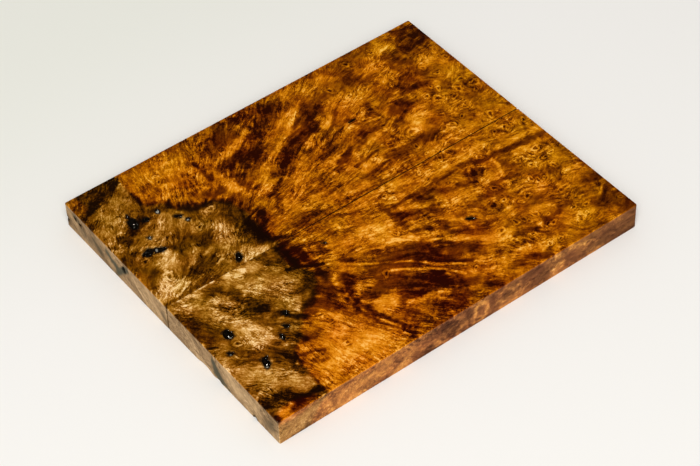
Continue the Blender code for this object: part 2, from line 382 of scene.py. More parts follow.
        (0.6, 1.4, -35, 23.4, -31.6, 24), (0.6, 1.3, -37.6, 1.2, -30, 1.4),
        (0.5, 1.2, -47.4, 1.6, -41.6, 1.6), (0.5, 0.9, -48, 27, -45.6, 31, -45, 33),
        (0.5, 1.0, -43.4, 24, -41, 26), (0.4, 1.2, -49.6, 40, -51, 36.6), (0.4, 1.4, -58, 33, -55.6, 36),
        (0.4, 1.0, -47, 24, -45, 26), (0.4, 1.0, -58.6, 21.6, -56, 25.4),
        # grey side, dark
        (-0.7, 1.9, -60, 47.6, -55, 48.4, -50.6, 50.0), (-0.9, 0.9, -65, 44.4, -58, 46.2),
        (-0.7, 1.3, -60, 52.4, -49.6, 52.8), (0.6, 0.5, -64.4, 46.4, -62.4, 47.4, -61.4, 49.6),
        (0.5, 0.5, -63.4, 51, -61.6, 51.4), (0.6, 0.7, -47, 36, -45, 35.6),
        (-0.5, 1.4, -61.6, 40.4, -64.4, 38.6), (-0.7, 1.7, -60.4, 28.6, -55.6, 30.4, -52, 33),
        (-0.7, 1.3, -60.4, 30, -58, 27), (-0.7, 1.3, -65, 21.6, -59.4, 23),
        (-0.6, 2.3, -64.6, 18.4, -61.4, 14.4), (-0.8, 1.9, -49.4, 17.4, -44.4, 17.6, -40.6, 15.4),
        (-0.7, 1.5, -50, 13.6, -52, 9.6), (-0.7, 1.7, -51.6, 6, -47, 7.4, -43.6, 6.6),
        (-0.5, 1.4, -42, 13.4, -39.4, 15), (-0.5, 1.4, -47.4, 21.6, -44, 20),
        (-0.6, 1.4, -47.4, 35, -43.4, 33), (-0.6, 1.8, -30, 23, -28.4, 19),
        (-0.4, 1.4, -37, 22, -33, 20.8), (-0.5, 1.2, -63.4, 9, -61, 11.4), (-0.5, 1.0, -53.6, 8, -50, 7),
        (-0.5, 1.4, -39, 26, -36.4, 23.6), (-0.4, 1.6, -33, 17, -31.4, 20),
        (-0.4, 1.2, -54.6, 1.8, -50, 1.2),
    ),
}

# %% Marks on the right scale
RIGHT = {
    "border": (
        (-24.5, -20), (-25.5, 0), (-27, 2.5), (-28, 5), (-27.8, 9.5), (-25.5, 12.5), (-24.5, 15.5),
        (-26, 19), (-29, 22.5), (-33, 24), (-36, 26), (-38.5, 28.5), (-40.5, 31), (-41.5, 33.5),
        (-45, 34.5), (-46.5, 36.5), (-47.3, 39), (-47.9, 43), (-48.3, 50), (-48.5, 75),
    ),
    "gold_patches": (
        (-58.0, 53.2, 8.0, 3.4, 1.0), (-63.6, 14.0, 2.6, 6.0, 0.3),
    ),
    "washes": (
        (-0.5, 5.5, 9, 42, 12, 38), (0.5, 5.0, -42, 50, -36, 51), (0.75, 4.5, -21, 50, -18, 51),
        (0.35, 5.0, -8, 3, 3, 2), (0.3, 4.0, -12, 10, -9, 11), (-0.35, 5.0, -12, 29, 0, 30),
        (-0.35, 4.0, -20, 20, -18, 22), (-0.4, 4.5, -41, 29, -37, 32), (0.5, 1.6, -62, 2.8, -57, 3.0),
        (-0.45, 3.0, -52, 2, -48, 3), (0.5, 3.2, -24, 30, -19, 30), (-0.25, 3.0, -11, 31, -9, 31),
        (-0.25, 4.0, -61, 30, -59, 31), (0.25, 3.5, 19, 50, 21, 50), (-0.2, 4.0, 58, 50, 62, 50),
        (0.15, 8.0, -50, 12, -46, 24), (-0.3, 4.0, -31, 28, -28, 31), (-0.3, 4.5, -60, 21, -60, 18),
        (0.25, 4.0, -60, 2, -56, 8), (-0.2, 4.0, 58, 21, 61, 19), (0.2, 3.0, 40, 2, 60, 2),
    ),
    "eyes": (
        (10, 4.2, 1.3), (3, 18.3, 1.3), (36.6, 13.3, 3.0), (32.5, 27.5, 2.4), (36.2, 27.5, 1.2),
        (33, 36.7, 1.5), (28, 43, 2.0), (57.5, 17, 1.6), (51.5, 17.7, 1.2), (55.5, 18.4, 0.9),
        (52, 21.5, 1.4), (57.5, 21.5, 1.2), (60, 21, 1.1), (57, 25.5, 1.5), (32.8, 1.9, 1.4),
        (37, 2, 1.0), (52.8, 3.5, 1.2), (56.5, 3.7, 1.4), (63, 5, 1.2), (24, 3, 1.0), (49, 47.2, 2.3),
        (40, 43, 1.3), (-33, 42.6, 1.4), (-57, 24, 1.6), (-42, 4, 1.3), (48, 26, 1.4), (12.5, 43.3, 1.0),
    ),
    "strokes": (
        (-1.8, 1.4, -26.5, 2.5, -26.6, 6, -26.4, 9.4),
        (-1.3, 0.5, -30, 9.8, -26, 11.6, -23, 13.2, -20.4, 14.7),
        (-0.9, 1.3, -23.4, 4.6, -23, 10, -22.4, 13.6), (-1.2, 1.2, -23.4, 16.6, -22.8, 20),
        (-1.0, 1.0, -30, 22.4, -27.8, 22.8), (-1.4, 1.2, -35, 25, -31.4, 24, -29.4, 22.6),
        (-1.8, 1.1, -38.4, 26.2, -36.2, 28), (-1.0, 0.9, -40.4, 22.6, -39.6, 24),
        (-1.2, 1.0, -42, 31.6, -42, 34), (-1.1, 0.8, -46, 33.8, -45, 35.8),
        (-1.16, 0.45, -46.8, 36.6, -47.8, 41.4), (-0.8, 0.5, -48.2, 43, -48.2, 49.6),
        (-0.95, 1.3, -66, 46.6, -60, 46.4, -57, 47.8), (-1.35, 0.9, -56, 49.4, -53, 50.8, -48.8, 50.8),
        (-1.2, 0.8, -64.6, 50.4, -64.8, 53.4), (-0.2, 1.0, -49.2, 38, -49.4, 44),
        (-1.0, 2.2, -33.4, 26.6, -28, 27.6, -25, 25), (-0.8, 1.8, -27.4, 21.6, -24, 22.4),
        (-0.4, 2.0, -27, 31, -24, 28),
        # gold side, light
        (2.4, 1.2, -61.7, 51.4, -61.3, 51.6), (0.5, 3.6, -43, 47.4, -35, 46, -27, 48),
        (0.5, 2.6, -37, 38.4, -27.6, 39), (0.4, 1.6, -30, 46, -22, 50), (0.5, 1.2, -47, 50.6, -42, 49.6),
        (0.5, 0.8, -45.6, 36.4, -43.6, 37), (0.7, 1.1, -35, 27.6, -31.4, 30.8, -29, 34),
        (0.5, 1.6, -42, 38.4, -44, 37), (0.45, 2.0, -30, 44, -26, 45),
        (0.9, 0.8, -21, 20.6, -22.8, 24, -24.4, 27.4),
        (0.5, 0.5, -22, 33.6, -21.6, 39, -19.8, 44, -18, 47),
        (0.8, 0.35, -16.4, 27, -18.4, 28.4, -19.8, 31), (0.7, 1.5, -17.4, 28.4, -14, 29.2, -15, 30.2),
        (1.0, 0.8, -20.4, 33, -17.4, 35.4, -15, 36.6), (0.7, 2.0, -18, 38.2, -13.4, 37.6),
        (0.4, 1.0, -16, 40, -12, 39.4), (0.9, 0.9, -10.4, 41.6, -7.4, 43.4, -4, 43.2),
        (0.4, 1.4, -9, 46, -8, 50), (0.6, 1.4, -17, 20, -14, 23, -13, 24.6),
        (0.5, 1.1, -21, 15.2, -16.4, 16.2), (0.65, 2.2, -13.4, 10.8, -8, 13, -5, 14.6),
        (0.5, 1.4, -21, 2.6, -15, 3.8), (0.5, 0.45, -19, 7.2, -16, 7.6), (0.4, 1.4, -11, 18, -8, 17.4),
        (0.5, 0.8, -15, 13, -20, 11.6), (0.75, 2.3, -5, 12.6, 0, 13.6, 4.4, 14),
        (0.6, 1.4, -3.4, 16.8, 0.4, 18.6), (0.4, 1.0, -2, 2, 2.4, 3.6),
        (1.0, 0.75, -1, 19, 5, 22.4, 10, 24.8, 13.4, 26),
        (0.8, 0.9, 8, 26, 13, 29.4, 17, 32, 21, 35, 25, 39), (0.6, 1.5, 21.6, 37.2, 28.4, 38.6),
        (1.5, 0.34, -15, 19.3, -10, 23.2, -7, 24.9, -4, 27, 0, 29.8, 2.4, 32.4, 5, 35.3, 8, 37.5, 11, 40.2),
        (1.8, 0.36, -7, 28.9, -4, 30.6, -2, 32.4, 0, 33.8, 3, 36, 5, 38, 7, 40.4, 8.6, 43),
        (0.3, 0.6, 3, 34.6, 6, 37.4, 10, 40.6), (-0.7, 1.5, -13, 25.4, -9.6, 27.2, -6.4, 27, -2.6, 28.8),
        (0.5, 1.7, -46, 52.2, -34, 52.4, -22, 51.8), (-0.4, 1.0, -3, 29.4, 1, 32),
        (0.9, 1.1, -5.4, 42.8, -2, 44.8, 0, 45.2), (0.5, 1.1, 5, 40, 8, 42, 10.4, 44),
        (0.4, 1.4, 14, 41, 18.4, 43), (0.4, 2.4, 15.4, 48, 20.4, 46.4), (0.5, 1.8, 28, 47, 34, 49),
        (0.4, 1.8, 45, 46.4, 52, 47.4), (0.5, 2.1, 21.4, 18, 28, 19.2, 32.4, 20.2),
        (0.6, 1.1, 14.4, 1.8, 19.4, 3.2), (0.5, 1.1, 11.4, 6.4, 18.4, 7), (0.5, 1.4, 35, 6, 47, 6),
        (0.8, 0.5, 29.4, 11.6, 32, 14.8), (0.8, 0.5, 37.4, 10.2, 41, 12.8),
        (0.7, 0.5, 44.6, 11.6, 44.4, 15, 42.6, 19.6), (0.6, 1.0, 50, 9.6, 57, 9.9, 65, 10.2),
        (0.5, 1.8, 62.4, 31.4, 59, 30), (0.35, 2.0, 46.6, 26, 48.4, 32.4), (0.5, 1.4, 40, 36.6, 45, 37.4),
        (0.5, 0.9, 10.4, 18, 14, 19.4), (0.6, 0.6, 10, 11, 14, 12.8), (0.6, 0.5, 14, 13.4, 18, 15.6),
        (0.5, 0.8, 15, 20, 21, 25), (0.4, 1.5, 36, 18, 42, 18), (0.4, 1.2, 26, 5, 32, 6),
        (0.4, 1.5, 52, 14.6, 58, 15.6), (0.4, 2.8, 51, 19.5, 60, 19.5), (0.3, 2.2, 50, 24, 59, 23.6),
        (0.3, 2.0, 60, 24, 64, 26), (0.3, 2.0, 52, 36, 58, 34),
        # gold side, dark
        (-1.0, 2.0, -19, 32.4, -13, 32.6, -8, 33), (-1.1, 1.8, -9, 38, -6, 35.6),
        (-0.8, 1.1, -11.4, 40, -6, 41), (-0.4, 1.6, -13, 45, -10.4, 48),
        (-0.25, 1.8, -13, 50.4, -6, 52.4), (-0.7, 1.7, -11, 24, -5.4, 24),
        (-0.7, 1.1, -18.6, 24.4, -17.4, 21.6), (-1.0, 0.7, -15.6, 16.8, -13, 18.6),
        (-0.5, 1.0, -8.6, 19, -5.4, 20.4), (-0.5, 0.7, -12, 6, -6, 9), (-0.5, 1.3, -18, 12.4, -17, 8.6),
        (-1.12, 0.75, -18.6, 22.4, -20.3, 26.1, -21.6, 29.6, -21.7, 34.6, -20.5, 39.4, -18.9, 43.4,
         -17, 47, -16.6, 51, -17.4, 53),
        (-0.9, 0.5, -23.4, 29, -23.4, 34, -22.8, 39, -21.2, 43.4, -18.6, 47.6, -17.4, 51),
        (-1.1, 2.1, -5, 24.4, 1.4, 26, 6, 27.6), (-1.3, 1.4, 1.6, 30.4, 6, 31.4, 9.4, 31),
        (-1.0, 0.7, 10, 28.4, 13.4, 31.2), (-1.3, 2.1, -5.4, 36.6, -1, 38, 2.4, 39.4),
        (-1.1, 1.6, -4, 41, 2.4, 42.6), (-0.7, 1.4, 6, 34.4, 11.4, 36.4),
        (-1.0, 0.6, 9.6, 37.2, 13.2, 40.6), (-0.7, 1.8, 12.4, 34, 16.4, 37),
        (-0.7, 0.9, 15, 25.6, 18, 28.8, 20.4, 31.4), (-0.7, 1.4, 5.4, 45.2, 9.4, 47.4),
        (-0.45, 2.2, -3, 50, 4.4, 50.4), (-0.9, 0.6, -45.6, 38.6, -42.5, 39, -39.6, 40.6),
        (-0.9, 0.65, -44.6, 42, -43, 43.6, -41, 44), (-0.5, 0.5, -41, 41.4, -39, 43.4),
        (-0.5, 0.5, -33.6, 41, -32, 42.6, -33, 44), (-0.4, 0.5, -34, 46.6, -32, 48.4),
        (-0.8, 1.1, 6.4, 7, 7, 12, 7, 17.4), (-0.8, 1.1, 9, 14, 14, 16, 19.4, 18.2),
        (-0.7, 0.9, 7.4, 20.4, 12.4, 22.2), (-0.7, 1.1, 17, 12.4, 20.4, 13.6),
        (-0.6, 0.9, 14.4, 19.6, 17, 24), (-1.0, 0.45, 9, 9.4, 15, 9.2, 21, 9.4),
        (-0.8, 0.45, 27.6, 9.3, 33.4, 8.7),
        (-1.0, 0.8, 35.4, 8.6, 42, 10.4, 48, 11.4, 56, 12.4, 66, 13.2), (-0.6, 0.8, 38, 10.6, 42.4, 11.6),
        (-1.2, 1.3, 35.2, 12.8, 38, 13.7), (-0.7, 0.8, 30, 14, 33, 15.6, 36, 15),
        (-0.8, 1.2, 31, 23.2, 37.4, 23.4), (-0.5, 1.5, 32, 27, 34, 28.6),
        (-1.3, 0.6, 22.6, 26.8, 24.6, 28.2), (-0.4, 0.7, 25, 32, 29.4, 32.2),
        (-0.7, 0.7, 30, 36.4, 35.4, 36.6), (-0.8, 0.9, 29.6, 41, 36.4, 41.6),
        (-0.8, 0.9, 40, 42.2, 46, 41, 51, 40.4), (-0.6, 0.9, 26.4, 42.6, 29.4, 44.6),
        (-0.5, 1.0, 20, 49.4, 28.4, 49.6), (-0.9, 1.0, 30, 52, 34.4, 51.2), (-0.9, 2.4, 59, 46.4, 65, 48),
        (-0.9, 1.4, 60, 52, 65, 51.2), (-0.6, 1.4, 61, 37, 65, 38.4), (-0.6, 1.8, 63.4, 43, 63.6, 52),
        (-0.9, 0.7, 31.4, 1.6, 34.4, 1.8), (-0.7, 0.5, 36, 1, 37.6, 2.6), (-0.7, 0.7, 52, 3, 53.4, 4),
        (-0.7, 0.7, 55.6, 4, 57.2, 3.2), (-0.6, 0.5, 61.8, 6.6, 64.2, 4), (-0.5, 0.7, 4.4, 3.4, 9.4, 3.6),
        (-0.6, 0.7, -6, 1.6, 0, 4.6), (-0.4, 1.6, 50, 25, 57, 27), (-0.4, 1.4, 12, 50, 14, 52),
        (-0.5, 1.0, 22, 24, 29, 23.6), (-0.45, 1.2, 14, 48, 10.4, 51), (-0.4, 1.4, 38, 32, 46, 33),
        (-0.5, 1.2, 22, 12, 26, 14), (-0.5, 1.0, 36, 20.6, 46, 21.6), (-0.2, 1.4, 25.4, 30, 22, 33),
        (-0.5, 1.2, 46, 15, 48, 20), (-0.4, 1.2, 26, 9.8, 30, 12.4),
        # grey side, light
        (1.4, 0.4, -62, 0.2, -49, 0.2), (0.6, 1.3, -61, 1.4, -56, 1.6, -51, 2.2),
        (0.7, 1.9, -57.6, 0.6, -56.8, 4), (0.7, 1.3, -60.4, 4.4, -56, 6, -52, 7),
        (0.7, 0.9, -51.4, 7.6, -49.8, 11), (0.65, 1.6, -58.4, 9.6, -55, 13, -53, 15.4),
        (0.8, 1.9, -52.4, 18.6, -50, 22.4), (0.65, 1.0, -54.4, 25.6, -50, 28.4),
        (0.5, 0.9, -49.6, 25.4, -48, 28), (0.75, 1.6, -44, 1.8, -40, 2.6, -36, 3.2),
        (0.3, 3.0, -62, 3, -54, 10), (0.3, 2.4, -53, 20, -50, 26), (0.8, 0.9, -44.6, 7, -43.4, 9.2),
        (0.75, 3.0, -38, 9.8, -34, 13, -31.6, 14.4), (0.7, 1.3, -38.4, 18.6, -35, 21.6),
        (0.6, 0.8, -38.4, 23.6, -35.4, 24.2), (0.45, 1.1, -47.4, 2.8, -46.4, 3.8),
        (0.5, 0.7, -42.4, 10.6, -41, 12.2), (0.8, 2.6, -63.4, 33.4, -60, 37, -57, 38.6),
        (0.9, 2.4, -56.4, 41, -53, 44, -50.8, 47.6), (0.35, 3.4, -61, 40, -55, 41),
        (0.5, 1.6, -64, 30, -62, 32), (0.6, 1.3, -63.4, 27, -64.4, 29.4),
        (0.4, 1.6, -63.4, 41.4, -60, 43.4), (0.5, 0.8, -43.4, 26.6, -41, 29.4),
        (0.5, 0.8, -46.6, 32.4, -45.4, 33.2), (0.5, 1.0, -39.4, 30.6, -38, 33),
        (0.5, 1.2, -40, 15.6, -36, 17), (0.4, 1.2, -60, 31, -58, 34), (0.4, 1.4, -34, 6, -31, 8),
        # grey side, dark
        (-0.6, 2.6, -63.4, 7, -62, 12, -64, 15.4), (-0.7, 1.3, -60.6, 18.4, -64.4, 20),
        (-0.6, 1.8, -58.4, 24, -57, 30, -53, 32), (-0.7, 1.6, -48, 7, -45.4, 13, -44, 17),
        (-0.5, 1.1, -45.4, 17.6, -42, 17.6), (-0.5, 1.3, -52.4, 2.6, -50, 3.8),
        (-0.6, 1.8, -51, 35, -50, 31), (-0.35, 1.0, -49.2, 36, -49.4, 43),
        (-0.5, 1.3, -59.6, 40.6, -64.4, 39.6), (-0.5, 1.1, -40.4, 4.8, -38, 6.4),
        (-0.5, 1.5, -58, 52.8, -50, 52.8), (-0.7, 1.4, -31, 19, -28, 17), (-0.5, 1.4, -31, 5, -33, 2),
        (-0.6, 0.9, -53.4, 10.6, -51.6, 14.4), (-0.6, 1.3, -46.4, 23, -42, 22),
        (-0.7, 1.3, -44, 30, -46, 28), (-0.5, 1.4, -48.4, 15, -47.6, 20), (-0.5, 1.2, -61, 29.4, -59, 33),
        (-0.4, 1.4, -35, 5.4, -30, 6.4),
    ),
}
print("strokes", len(LEFT["strokes"]), len(RIGHT["strokes"]))

# %% [markdown]
# ## A board of numbers
# The strokes are worked out on a fine board of sample points, a third of a millimetre apart. The board is
# wider than the wood, because the figure slants through the thickness and the edges look up other places.
# Gradient noise is the base of everything: random slopes on a lattice, blended smoothly in between.

# %% The board and its noise
STEP = 0.33
BOARD_LOW, BOARD_HIGH = (-67.0, -20.0), (67.0, 73.0)
BOARD_COUNT = [int(round((b - a) / STEP)) + 1 for a, b in zip(BOARD_LOW, BOARD_HIGH)]
LATTICE = 128
OUT, WAY = (a + STEP * np.arange(n) for a, n in zip(BOARD_LOW, BOARD_COUNT))
BX, BY = np.meshgrid(OUT, WAY, indexing="ij")


def ease(low, high, value):
    """0 below low, 1 above high, a smooth step between."""
    t = np.clip((value - low) / (high - low), 0, 1)
    return t * t * (3 - 2 * t)


def noise(x, y, seed):
    """Gradient noise from about -1 to 1, one wave a unit."""
    angle = np.random.RandomState(seed).uniform(0, math.tau, (LATTICE, LATTICE))
    cell_x, cell_y = np.floor(x).astype(int), np.floor(y).astype(int)
    fx, fy = x - cell_x, y - cell_y

    def slope(i, j):
        turn = angle[(cell_x + i) % LATTICE, (cell_y + j) % LATTICE]
        return np.cos(turn) * (fx - i) + np.sin(turn) * (fy - j)

    sx, sy = (f ** 3 * (f * (6 * f - 15) + 10) for f in (fx, fy))
    near = slope(0, 0) * (1 - sx) + slope(1, 0) * sx
    far = slope(0, 1) * (1 - sx) + slope(1, 1) * sx
    return 1.5 * (near * (1 - sy) + far * sy)


def layered(x, y, seed, size, layers):
    """Noise of one size, with finer and weaker layers on it."""
    return sum(noise(x / size * 2 ** k + 17 * k, y / size * 2 ** k, seed + k) / 2 ** k for k in range(layers))


def evened(field):
    """The field with mean 0 and spread 1, so that strengths can be compared."""
    return (field - field.mean()) / field.std()


def look_up(field, x, y):
    """The board's value between its points."""
    gx = np.clip((x - BOARD_LOW[0]) / STEP, 0, BOARD_COUNT[0] - 1.001)
    gy = np.clip((y - BOARD_LOW[1]) / STEP, 0, BOARD_COUNT[1] - 1.001)
    i, j = gx.astype(int), gy.astype(int)
    fx, fy = gx - i, gy - j
    low = field[i, j] * (1 - fx) + field[i + 1, j] * fx
    high = field[i, j + 1] * (1 - fx) + field[i + 1, j + 1] * fx
    return low * (1 - fy) + high * fy


print("board", BOARD_COUNT)

# %% [markdown]
# ## Fibres
# Wood shows its fibres as streaks. The trick here is to smear random specks along a field of directions:
# each point becomes the mean of the specks on a short walk along the fibres, both ways. The directions fan
# out from one spot near the mineral end, wander with noise, and run round each eye.

# %% Directions of the fibres, and the smear along them
FAN_ORIGIN = -52.0
WALK_STEP = 0.45
GREY_SLOPE = 47.0
EYE_REACH = 1.7


def smear(field, ux, uy, reach):
    """The field averaged along the fibres, reach millimetres each way."""
    steps = max(2, int(reach / WALK_STEP))
    total, weight = field.copy(), 1.0
    for way in (-WALK_STEP, WALK_STEP):
        x, y = BX.copy(), BY.copy()
        for k in range(steps):
            step_x, step_y = look_up(ux, x, y), look_up(uy, x, y)
            x, y = x + way * step_x, y + way * step_y
            share = 1 - (k + 1) / (steps + 1)
            total = total + share * look_up(field, x, y)
            weight += share
    return total / weight


def to_line(x, y, points):
    """Distance from each place to a chain of points."""
    best = np.full(x.shape, 1e9)
    for (ax, ay), (bx, by) in zip(points, points[1:]):
        dx, dy = bx - ax, by - ay
        t = np.clip(((x - ax) * dx + (y - ay) * dy) / (dx * dx + dy * dy + 1e-9), 0, 1)
        best = np.minimum(best, np.hypot(x - ax - t * dx, y - ay - t * dy))
    return best


def past_border(x, y, border):
    """Distance past the mineral border, plus on the gold side."""
    order = sorted(border, key=lambda point: point[1])
    edge = np.interp(y, [p[1] for p in order], [p[0] for p in order])
    return np.where(x > edge, 1, -1) * to_line(x, y, border)


def stray_eyes(seed):
    """Small buds scattered by chance, thick at the far end and rare elsewhere."""
    draw = np.random.RandomState(seed)
    found = []
    for _ in range(120):
        x, y, size = draw.uniform(-66, 66), draw.uniform(0, 72), draw.uniform(0.7, 1.6)
        chance = 1.0 if x > 40 and y < 32 else 0.75 if x > 25 else 0.12
        if draw.uniform() < chance:
            found.append((x, y, size))
    return found


def fibre_field(marks, seed, grey):
    """Direction of the fibres at each point, and its distance from the nearest eye, in eye sizes."""
    fan = np.clip(np.degrees(np.arctan2(BY, BX - FAN_ORIGIN)), -60, 75) * (1 - 0.55 * ease(25, 62, BX))
    wild = ease(25, 55, BX)
    turn = fan * (1 - grey) + GREY_SLOPE * grey
    turn = turn + (22 + 34 * wild + 16 * grey) * layered(BX, BY, seed + 11, 10, 2)
    turn = turn + (22 + 20 * wild + 12 * grey) * layered(BX, BY, seed + 21, 3.2, 2)
    ux, uy = np.cos(np.radians(turn)), np.sin(np.radians(turn))
    eyes = np.full(BX.shape, 9.0)
    for ex, ey, size in (*marks["eyes"], *stray_eyes(seed)):
        dx, dy = BX - ex, BY - ey
        round_it = np.arctan2(dy, dx)
        uneven = 1 + 0.28 * np.sin(2 * round_it + 5 * ex) + 0.16 * np.sin(3 * round_it + 3 * ey)
        r = (np.hypot(dx, dy) + 1e-6) * uneven
        pull = np.exp(-((r / (EYE_REACH * size)) ** 2))
        tx, ty = -np.sin(round_it), np.cos(round_it)
        sense = np.where(tx * ux + ty * uy < 0, -1, 1)
        ux, uy = ux * (1 - pull) + pull * tx * sense, uy * (1 - pull) + pull * ty * sense
        eyes = np.minimum(eyes, r / size)
    length = np.hypot(ux, uy) + 1e-9
    return ux / length, uy / length, eyes


# %% [markdown]
# ## Paint the marks on the board
# A stroke drawn with a clean edge looks like paint. Real edges are feathered, because light and dark fibres
# lie between each other. So each place is pushed a little along its fibres before it asks how near a stroke
# is, and thin strokes are pushed less, to stay whole. Washes are broad strokes whose edges fade softly.

# %% Lay out the figure of one scale
THIN_MARK = 0.75
MARK_REACH = 3.2
INK_LIMIT = -1.15
EDGE_POWER, WASH_POWER = 4.0, 2.0
STROKE_SPREAD = 1.15
WIDE_PUSH, THIN_PUSH = 0.26, 0.05
FAR_DIM, BORDER_DIM = 0.26, 0.45


def paint(x, y, strokes, ragged, power=EDGE_POWER):
    """The sum of the strokes at each place. ragged moves their edges, in shares of their width."""
    total = np.zeros(x.shape)
    for strength, width, *flat in strokes:
        xs, ys = flat[::2], flat[1::2]
        margin = MARK_REACH * width + 3
        close = (x > min(xs) - margin) & (x < max(xs) + margin)
        close &= (y > min(ys) - margin) & (y < max(ys) + margin)
        if close.any():
            away = to_line(x[close], y[close], list(zip(xs, ys))) / (STROKE_SPREAD * width) + ragged[close]
            total[close] += strength * np.exp(-(np.maximum(away, 0) ** power))
    return total


def lay_out(marks, seed):
    """Every map that the paint needs, on the board."""
    wave_x, wave_y = (1.6 * layered(BX, BY, seed + k, 3.0, 2) for k in (51, 54))
    border = past_border(BX + 0.35 * wave_x, BY + 0.35 * wave_y, marks["border"])
    grey = ease(0.9, -0.9, border)
    ux, uy, eyes = fibre_field(marks, seed, grey)
    specks = np.random.RandomState(seed).normal(size=BX.shape)
    fine = evened(smear(specks, ux, uy, 1.7))
    middle = evened(smear(noise(BX / 0.8, BY / 0.8, seed + 31), ux, uy, 3.6))
    broad = evened(smear(noise(BX / 1.9, BY / 1.9, seed + 32), ux, uy, 7.0))
    curl = evened(smear(noise((BX + wave_x) / 1.5, (BY + wave_y) / 1.5, seed + 33), -uy, ux, 1.6))
    cloud = evened(layered(BX + 2 * wave_x, BY + 2 * wave_y, seed + 61, 9.0, 3))
    mottle = evened(layered(BX + wave_x, BY + wave_y, seed + 71, 2.6, 3))
    lively = ease(-1.2, 1.4, evened(layered(BX, BY, seed + 81, 8.0, 2)))
    feather = 0.6 * middle + 0.6 * broad + 0.35 * fine
    drift_x, drift_y = (layered(BX, BY, seed + k, 2.6, 3) for k in (41, 44))
    ragged = 0.16 * np.tanh(1.5 * middle) + 0.13 * broad + 0.07 * fine + 0.08 * curl
    tone, ink_and_slot_shade = np.zeros(BX.shape), np.zeros(BX.shape)
    for thin, push in ((False, WIDE_PUSH), (True, THIN_PUSH)):
        x = BX + push * (feather * ux + 1.4 * drift_x)
        y = BY + push * (feather * uy + 1.4 * drift_y)
        chosen = [s for s in marks["strokes"] if (s[1] < THIN_MARK) == thin]
        tone += paint(x, y, chosen, 0.5 * ragged if thin else ragged)
        dark = [(-s[0] - 0.55, 0.7 * s[1], *s[2:]) for s in chosen if s[0] < INK_LIMIT]
        ink_and_slot_shade += paint(x, y, dark, ragged if thin else 1.5 * ragged)
    tone += paint(BX, BY, marks["washes"], 0 * BX, WASH_POWER)
    ink_and_slot_shade *= 1 - 0.85 * ease(2.5, 6, border)
    tone -= FAR_DIM * ease(10, 40, BX)
    near_border = ease(-3.5, -0.6, border + 0.6 * broad) * ease(1.0, -0.2, border)
    tone -= BORDER_DIM * near_border * ease(-34, -29, BX)
    patches = np.zeros(BX.shape)
    for px, py, half_x, half_y, share in marks["gold_patches"]:
        away = np.hypot((BX + 0.5 * drift_x - px) / half_x, (BY + 0.5 * drift_y - py) / half_y)
        patches = np.maximum(patches, share * ease(1.2, 0.7, away))
    return {
        "tone": tone, "ink_and_slot_shade": np.clip(ink_and_slot_shade, 0, 1), "grey": grey * (1 - patches), "eyes": eyes, "lively": lively,
        "fine": fine, "middle": middle, "broad": broad, "curl": curl, "cloud": cloud, "mottle": mottle,
        "way_x": ux, "way_y": uy,
    }


boards = {"scale_left": lay_out(LEFT, 40), "scale_right": lay_out(RIGHT, 90)}
print("maps", list(boards["scale_left"]))

# %% [markdown]
# ## Pockets
# Where bark or rot sat in the burl, the finished slice has open pockets with a dark glassy wall, because
# the resin that hardens the wood coats them. Each one is a lumpy bowl: an ellipse whose rim waves, with a
# round floor. The list repeats the frame's own pockets, so the finer mesh opens where the solid does.

# %% Where the pockets are
# along the scale, out from the seam, half length, half width, depth, turn away from the scale's length
TOP_POCKETS = {
    "scale_left": (
        (-54.0, 33.4, 2.5, 1.35, 2.6, 84), (-53.7, 36.5, 1.4, 0.40, 0.9, 86),
        (-50.0, 32.4, 1.0, 0.80, 1.5, 20), (-45.6, 33.1, 1.0, 0.70, 0.8, 100),
        (-42.2, 28.0, 0.9, 0.60, 1.4, 140), (-41.3, 27.3, 0.7, 0.50, 1.0, 60),
        (-40.4, 24.9, 0.7, 0.65, 0.9, 0), (-53.4, 25.6, 0.7, 0.60, 0.8, 60),
        (-57.1, 20.8, 1.9, 1.25, 2.8, 5), (-56.6, 21.5, 0.8, 0.80, 1.6, 0),
        (-53.8, 19.8, 2.2, 1.00, 2.0, -27), (-37.7, 3.0, 1.8, 1.05, 2.2, 55),
        (22.3, 27.7, 1.3, 0.35, 0.6, 5),
    ),
    "scale_right": (
        (-57.3, 19.4, 1.9, 1.40, 2.6, 100), (-60.8, 25.6, 0.9, 0.75, 1.2, 60),
        (-55.1, 34.6, 2.0, 1.10, 2.4, 110), (-54.3, 33.0, 0.9, 0.80, 1.4, 30),
        (-42.8, 27.0, 1.1, 0.70, 1.4, 45), (-45.9, 29.6, 1.3, 0.65, 1.2, 95),
        (-40.0, 23.0, 1.0, 0.70, 0.9, 80), (-15.1, 8.2, 0.6, 0.40, 0.6, 30),
        (23.7, 27.2, 1.5, 0.50, 0.8, 30),
    ),
}
# out from the seam, height, half width, half height, depth, in the end face at -X
END_POCKETS = {
    "scale_left": (
        (53.0, 3.4, 0.6, 0.60, 0.8), (48.1, 6.8, 0.6, 0.45, 0.6), (45.6, 6.0, 0.6, 0.50, 0.9),
        (22.2, 6.2, 0.9, 0.80, 1.2),
    ),
    "scale_right": (
        (17.8, 0.4, 4.2, 1.70, 1.1), (24.6, 1.2, 2.0, 2.30, 0.9), (42.2, 0.2, 0.8, 0.70, 0.7),
    ),
}
RIM_WAVES = ((2, 0.06), (3, 0.08), (5, 0.03))


def rim_distance(x, y, pocket, seed):
    """1 on the pocket's rim, 0 in its middle; plus the offsets from the middle. Flat lists, millimetres."""
    cx, cy, half_length, half_width, turn = pocket
    c, s = math.cos(math.radians(turn)), math.sin(math.radians(turn))
    dx, dy = x - cx, y - cy
    a, b = (dx * c + dy * s) / half_length, (dy * c - dx * s) / half_width
    phase = np.random.RandomState(seed).uniform(0, math.tau, len(RIM_WAVES))
    wave = sum(size * np.sin(n * np.arctan2(b, a) + p) for (n, size), p in zip(RIM_WAVES, phase))
    return np.hypot(a, b) / (1 + wave), dx, dy


print("pockets", {k: len(v) for k, v in TOP_POCKETS.items()})
